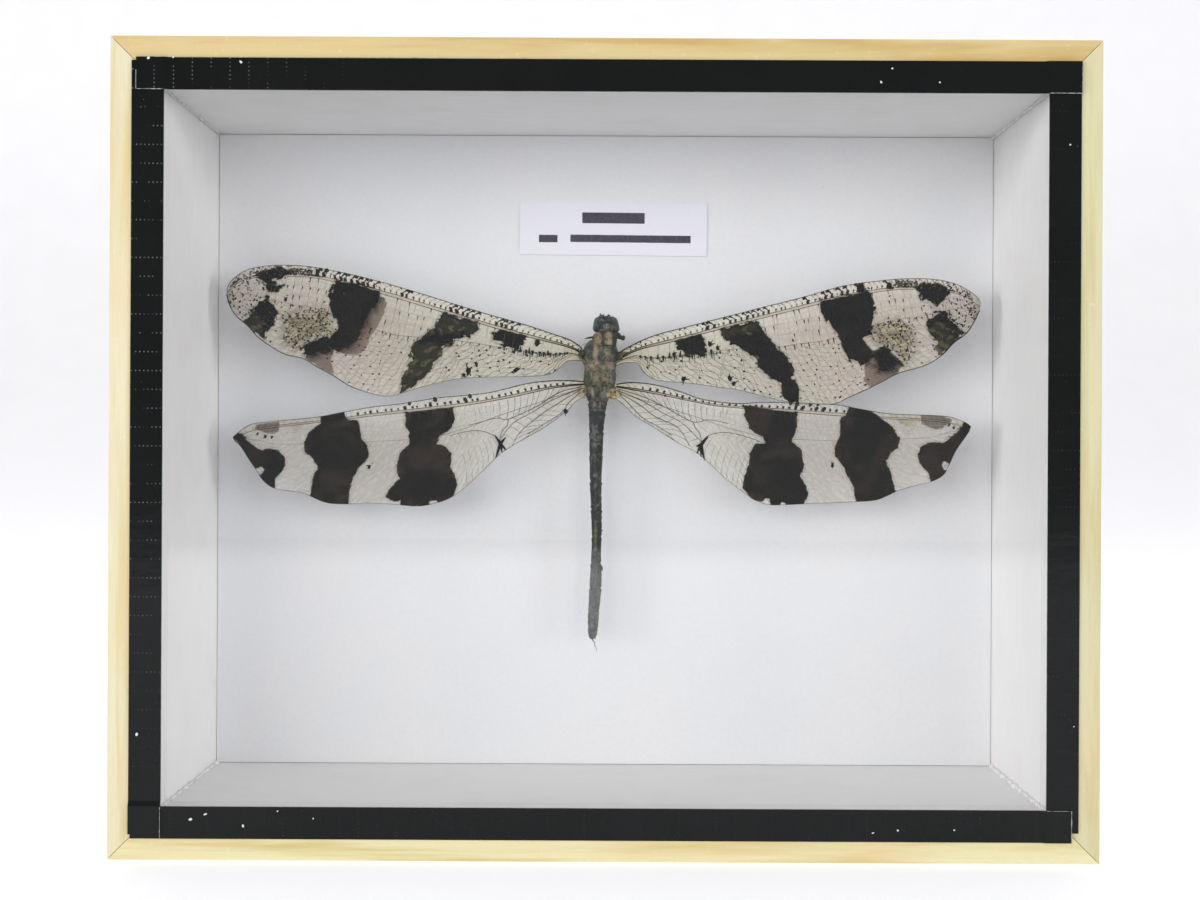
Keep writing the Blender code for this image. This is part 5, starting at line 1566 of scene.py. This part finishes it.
def make_dust():
    """Specks of dust on the tape, the glass and the card."""
    batch = Batch()
    face = low("tape_top").y
    left, right = (middle(name).x / MM for name in ("tape_left", "tape_right"))
    top, bottom = (middle(name).z / MM for name in ("tape_top", "tape_bottom"))
    spots = [(left + 0.2, top + 2.3, 0.22), (left + 4.0, top + 2.4, 0.14),
             (left + 14.4, top + 1.7, 0.20), (left - 1.1, bottom + 13.6, 0.20),
             (left + 7.2, bottom + 0.6, 0.22), (left + 9.5, bottom + 1.4, 0.16),
             (left + 15.3, bottom - 0.4, 0.20), (left + 20.6, bottom + 1.9, 0.12),
             (left + 26.1, bottom + 0.8, 0.14), (right - 25.4, bottom - 0.6, 0.16),
             (right - 16.7, bottom - 0.5, 0.14), (right - 29.2, bottom - 1.0, 0.12),
             (right + 1.6, bottom + 15.5, 0.10), (right + 0.6, top - 10.4, 0.16),
             (right - 26.8, top + 1.2, 0.14), (right - 28.5, top - 0.9, 0.16),
             (right - 19.5, top - 0.9, 0.16)]
    specks = [(x * MM, z * MM, size * MM, face) for x, z, size in spots]
    for count, lowest, highest, small, large, y in ((46, 0.014, 0.112, 0.04, 0.11, CARD_Y),
                                                    (16, 0.012, 0.115, 0.03, 0.08, FRONT_Y)):
        for _ in range(count):
            specks.append((rng.uniform(-0.062, 0.062), rng.uniform(lowest, highest),
                           rng.uniform(small, large) * MM, y - 0.03 * MM))
    for x, z, size, y in specks:
        batch.blot((x, y, z), size, rng.uniform(0.9, 1.8), rng.uniform(0, math.pi), size * 0.5)
    batch.build("dust", lumpy_material("dust_white", srgb(244, 246, 246), srgb(210, 216, 216)))


# Middle across, middle up, width and height of each bar, in mm on the label
BARS = ((0.0, 2.0, 11.1, 1.9), (3.05, -1.7, 21.4, 1.3), (-11.6, -1.7, 3.3, 1.3))
BAR_TURN = math.radians(0.35)
BAR_STEPS = 40


def make_label_bars():
    """Plain bars in place of the two printed lines: a short bold one over two thin ones."""
    centre = middle("name_label")
    face = low("name_label").y
    verts, faces = [], []
    for across, up, width, height in BARS:
        x, z = centre.x + across * MM, centre.z + up * MM
        base = len(verts)
        for layer in (-0.03 * MM, 0.02 * MM):
            for side in (-1, 1):
                for k in range(BAR_STEPS + 1):
                    a = (k / BAR_STEPS - 0.5) * width * MM
                    ragged = 0.03 * MM * noise.noise(Vector((k * 1.3, side * 4.0, up)))
                    b = side * height * MM / 2 + ragged
                    verts.append((x + a * math.cos(BAR_TURN) + b * math.sin(BAR_TURN), face + layer,
                                  z + b * math.cos(BAR_TURN) - a * math.sin(BAR_TURN)))
        lower, upper, lower_back, upper_back = (base + (BAR_STEPS + 1) * k for k in range(4))
        for k in range(BAR_STEPS):
            for one, other in ((lower, upper), (upper_back, lower_back), (lower_back, lower),
                               (upper, upper_back)):
                faces.append((one + k, one + k + 1, other + k + 1, other + k))
        faces.append((lower, upper, upper_back, lower_back))
        faces.append(tuple(row + BAR_STEPS for row in (lower, lower_back, upper_back, upper)))
    paint = Paint("ink")
    grain = paint.noise(4000, 3)
    colour = paint.blend(paint.step(grain, 0.35, 0.75), srgb(52, 50, 60), srgb(88, 84, 98))
    ink = paint.finish(colour, 0.6, Normal=paint.bump(grain, 0.00001))
    piece("label_bars", verts, faces, ink, smooth=False)


# ------------------------------------------------------ camera, light, floor

CAMERA_AHEAD = 0.207
LENS = 40.3
LENS_SHIFT = -0.0042
PHOTO_ROLL = math.radians(0.28)

TARGET = (0, 0, 0.06)
# Name, place, what it faces, width, height, power, colour, seen in the pane
LAMPS = (
    ("key", (-0.75, -1.25, 0.42), TARGET, 1.0, 0.8, 7.6, (1.0, 0.985, 0.96), False),
    ("fill", (0.75, -1.3, 0.34), TARGET, 0.9, 0.8, 5.4, (0.99, 0.99, 0.99), False),
    ("side_left", (-1.3, -0.65, 0.16), TARGET, 0.6, 0.5, 8.8, (1.0, 0.99, 0.985), False),
    ("side_right", (1.3, -0.65, 0.16), TARGET, 0.6, 0.5, 7.2, (1.0, 0.99, 0.985), False),
    ("top", (0.0, 0.2, 1.2), (0, 0, 0), 1.0, 0.8, 3.0, (1, 1, 1), True),
)
ROOM_COLOUR = (0.97, 0.98, 1.0, 1)
ROOM_STRENGTH = 0.34

# The table runs from its front edge, which is dark as far as the fade, to the sweep behind
TABLE_FRONT = -0.76
TABLE_FADE = -0.50
TABLE_HALF = 2.2
SWEEP_START = 0.45
SWEEP_RADIUS = 0.35
SWEEP_TOP = 1.8


def make_camera():
    lens = bpy.data.cameras.new("camera")
    lens.lens = LENS
    lens.clip_start = 0.005
    lens.shift_x = LENS_SHIFT
    camera = bpy.data.objects.new("camera", lens)
    camera.location = (0, FRONT_Y - CAMERA_AHEAD, CAD_BOX[1][2] / 2)
    camera.rotation_euler = (math.pi / 2, -PHOTO_ROLL, 0)
    bpy.context.scene.collection.objects.link(camera)
    bpy.context.scene.camera = camera


def softbox(name, place, target, width, height, power, colour, seen):
    """A soft lamp; one that is not seen leaves no mirror image in the pane."""
    light = bpy.data.lights.new(name, "AREA")
    light.shape = "RECTANGLE"
    light.size = width
    light.size_y = height
    light.energy = power
    light.color = colour
    lamp = bpy.data.objects.new(name, light)
    lamp.location = place
    lamp.rotation_euler = (Vector(target) - Vector(place)).to_track_quat("-Z", "Y").to_euler()
    lamp.visible_glossy = seen
    lamp.visible_transmission = seen
    bpy.context.scene.collection.objects.link(lamp)


def make_lights():
    scene = bpy.context.scene
    scene.view_settings.view_transform = "Standard"
    scene.cycles.max_bounces = 6
    scene.cycles.diffuse_bounces = 3
    scene.cycles.glossy_bounces = 2
    world = bpy.data.worlds.new("room")
    world.use_nodes = True
    world.node_tree.nodes["Background"].inputs["Color"].default_value = ROOM_COLOUR
    world.node_tree.nodes["Background"].inputs["Strength"].default_value = ROOM_STRENGTH
    scene.world = world
    for lamp in LAMPS:
        softbox(*lamp)


def make_floor():
    """A pale table that curves up behind; its glow fades towards the top of the sweep."""
    paint = Paint("floor_white")
    grain = paint.noise(40, 4)
    colour = paint.blend(grain, (0.86, 0.86, 0.88), (0.90, 0.90, 0.92))
    depth = paint.split()[1]
    near_edge = paint.step(depth, TABLE_FRONT, TABLE_FADE)
    colour = paint.blend(near_edge, (0.10, 0.10, 0.11), colour)
    # The table glows brighter in front of the box, out of view, so that its glow lights the box's
    # inside like a lamp.
    ahead = paint.calc("SUBTRACT", 1.0, paint.step(depth, -0.40, -0.15))
    glow = paint.calc("MULTIPLY", near_edge, paint.calc("MULTIPLY_ADD", ahead, 0.22, 0.46))
    fall = paint.calc("MULTIPLY", paint.step(depth, 0.30, 0.8), 0.48)
    glow = paint.calc("SUBTRACT", glow, fall)
    white = paint.finish(colour, 0.9, Emission_Color=(0.96, 0.96, 1.0), Emission_Strength=glow)
    verts, faces = [], []
    profile = [(TABLE_FRONT, 0.0), (SWEEP_START, 0.0)]
    profile += [(SWEEP_START + SWEEP_RADIUS * math.sin(a), SWEEP_RADIUS - SWEEP_RADIUS * math.cos(a))
                for a in np.linspace(0.1, math.pi / 2, 12)]
    profile += [(SWEEP_START + SWEEP_RADIUS, SWEEP_TOP)]
    for y, z in profile:
        verts += [(-TABLE_HALF, y, z), (TABLE_HALF, y, z)]
    for k in range(len(profile) - 1):
        faces.append((2 * k, 2 * k + 1, 2 * k + 3, 2 * k + 2))
    data = bpy.data.meshes.new("floor")
    data.from_pydata(verts, [], faces)
    data.shade_smooth()
    data.materials.append(white)
    floor = bpy.data.objects.new("floor", data)
    bpy.context.scene.collection.objects.link(floor)


make_camera()
make_lights()
make_floor()
make_case()
make_corner_beads()
make_tape_edges()
make_label_bars()
make_dust()
make_wings()
make_body()
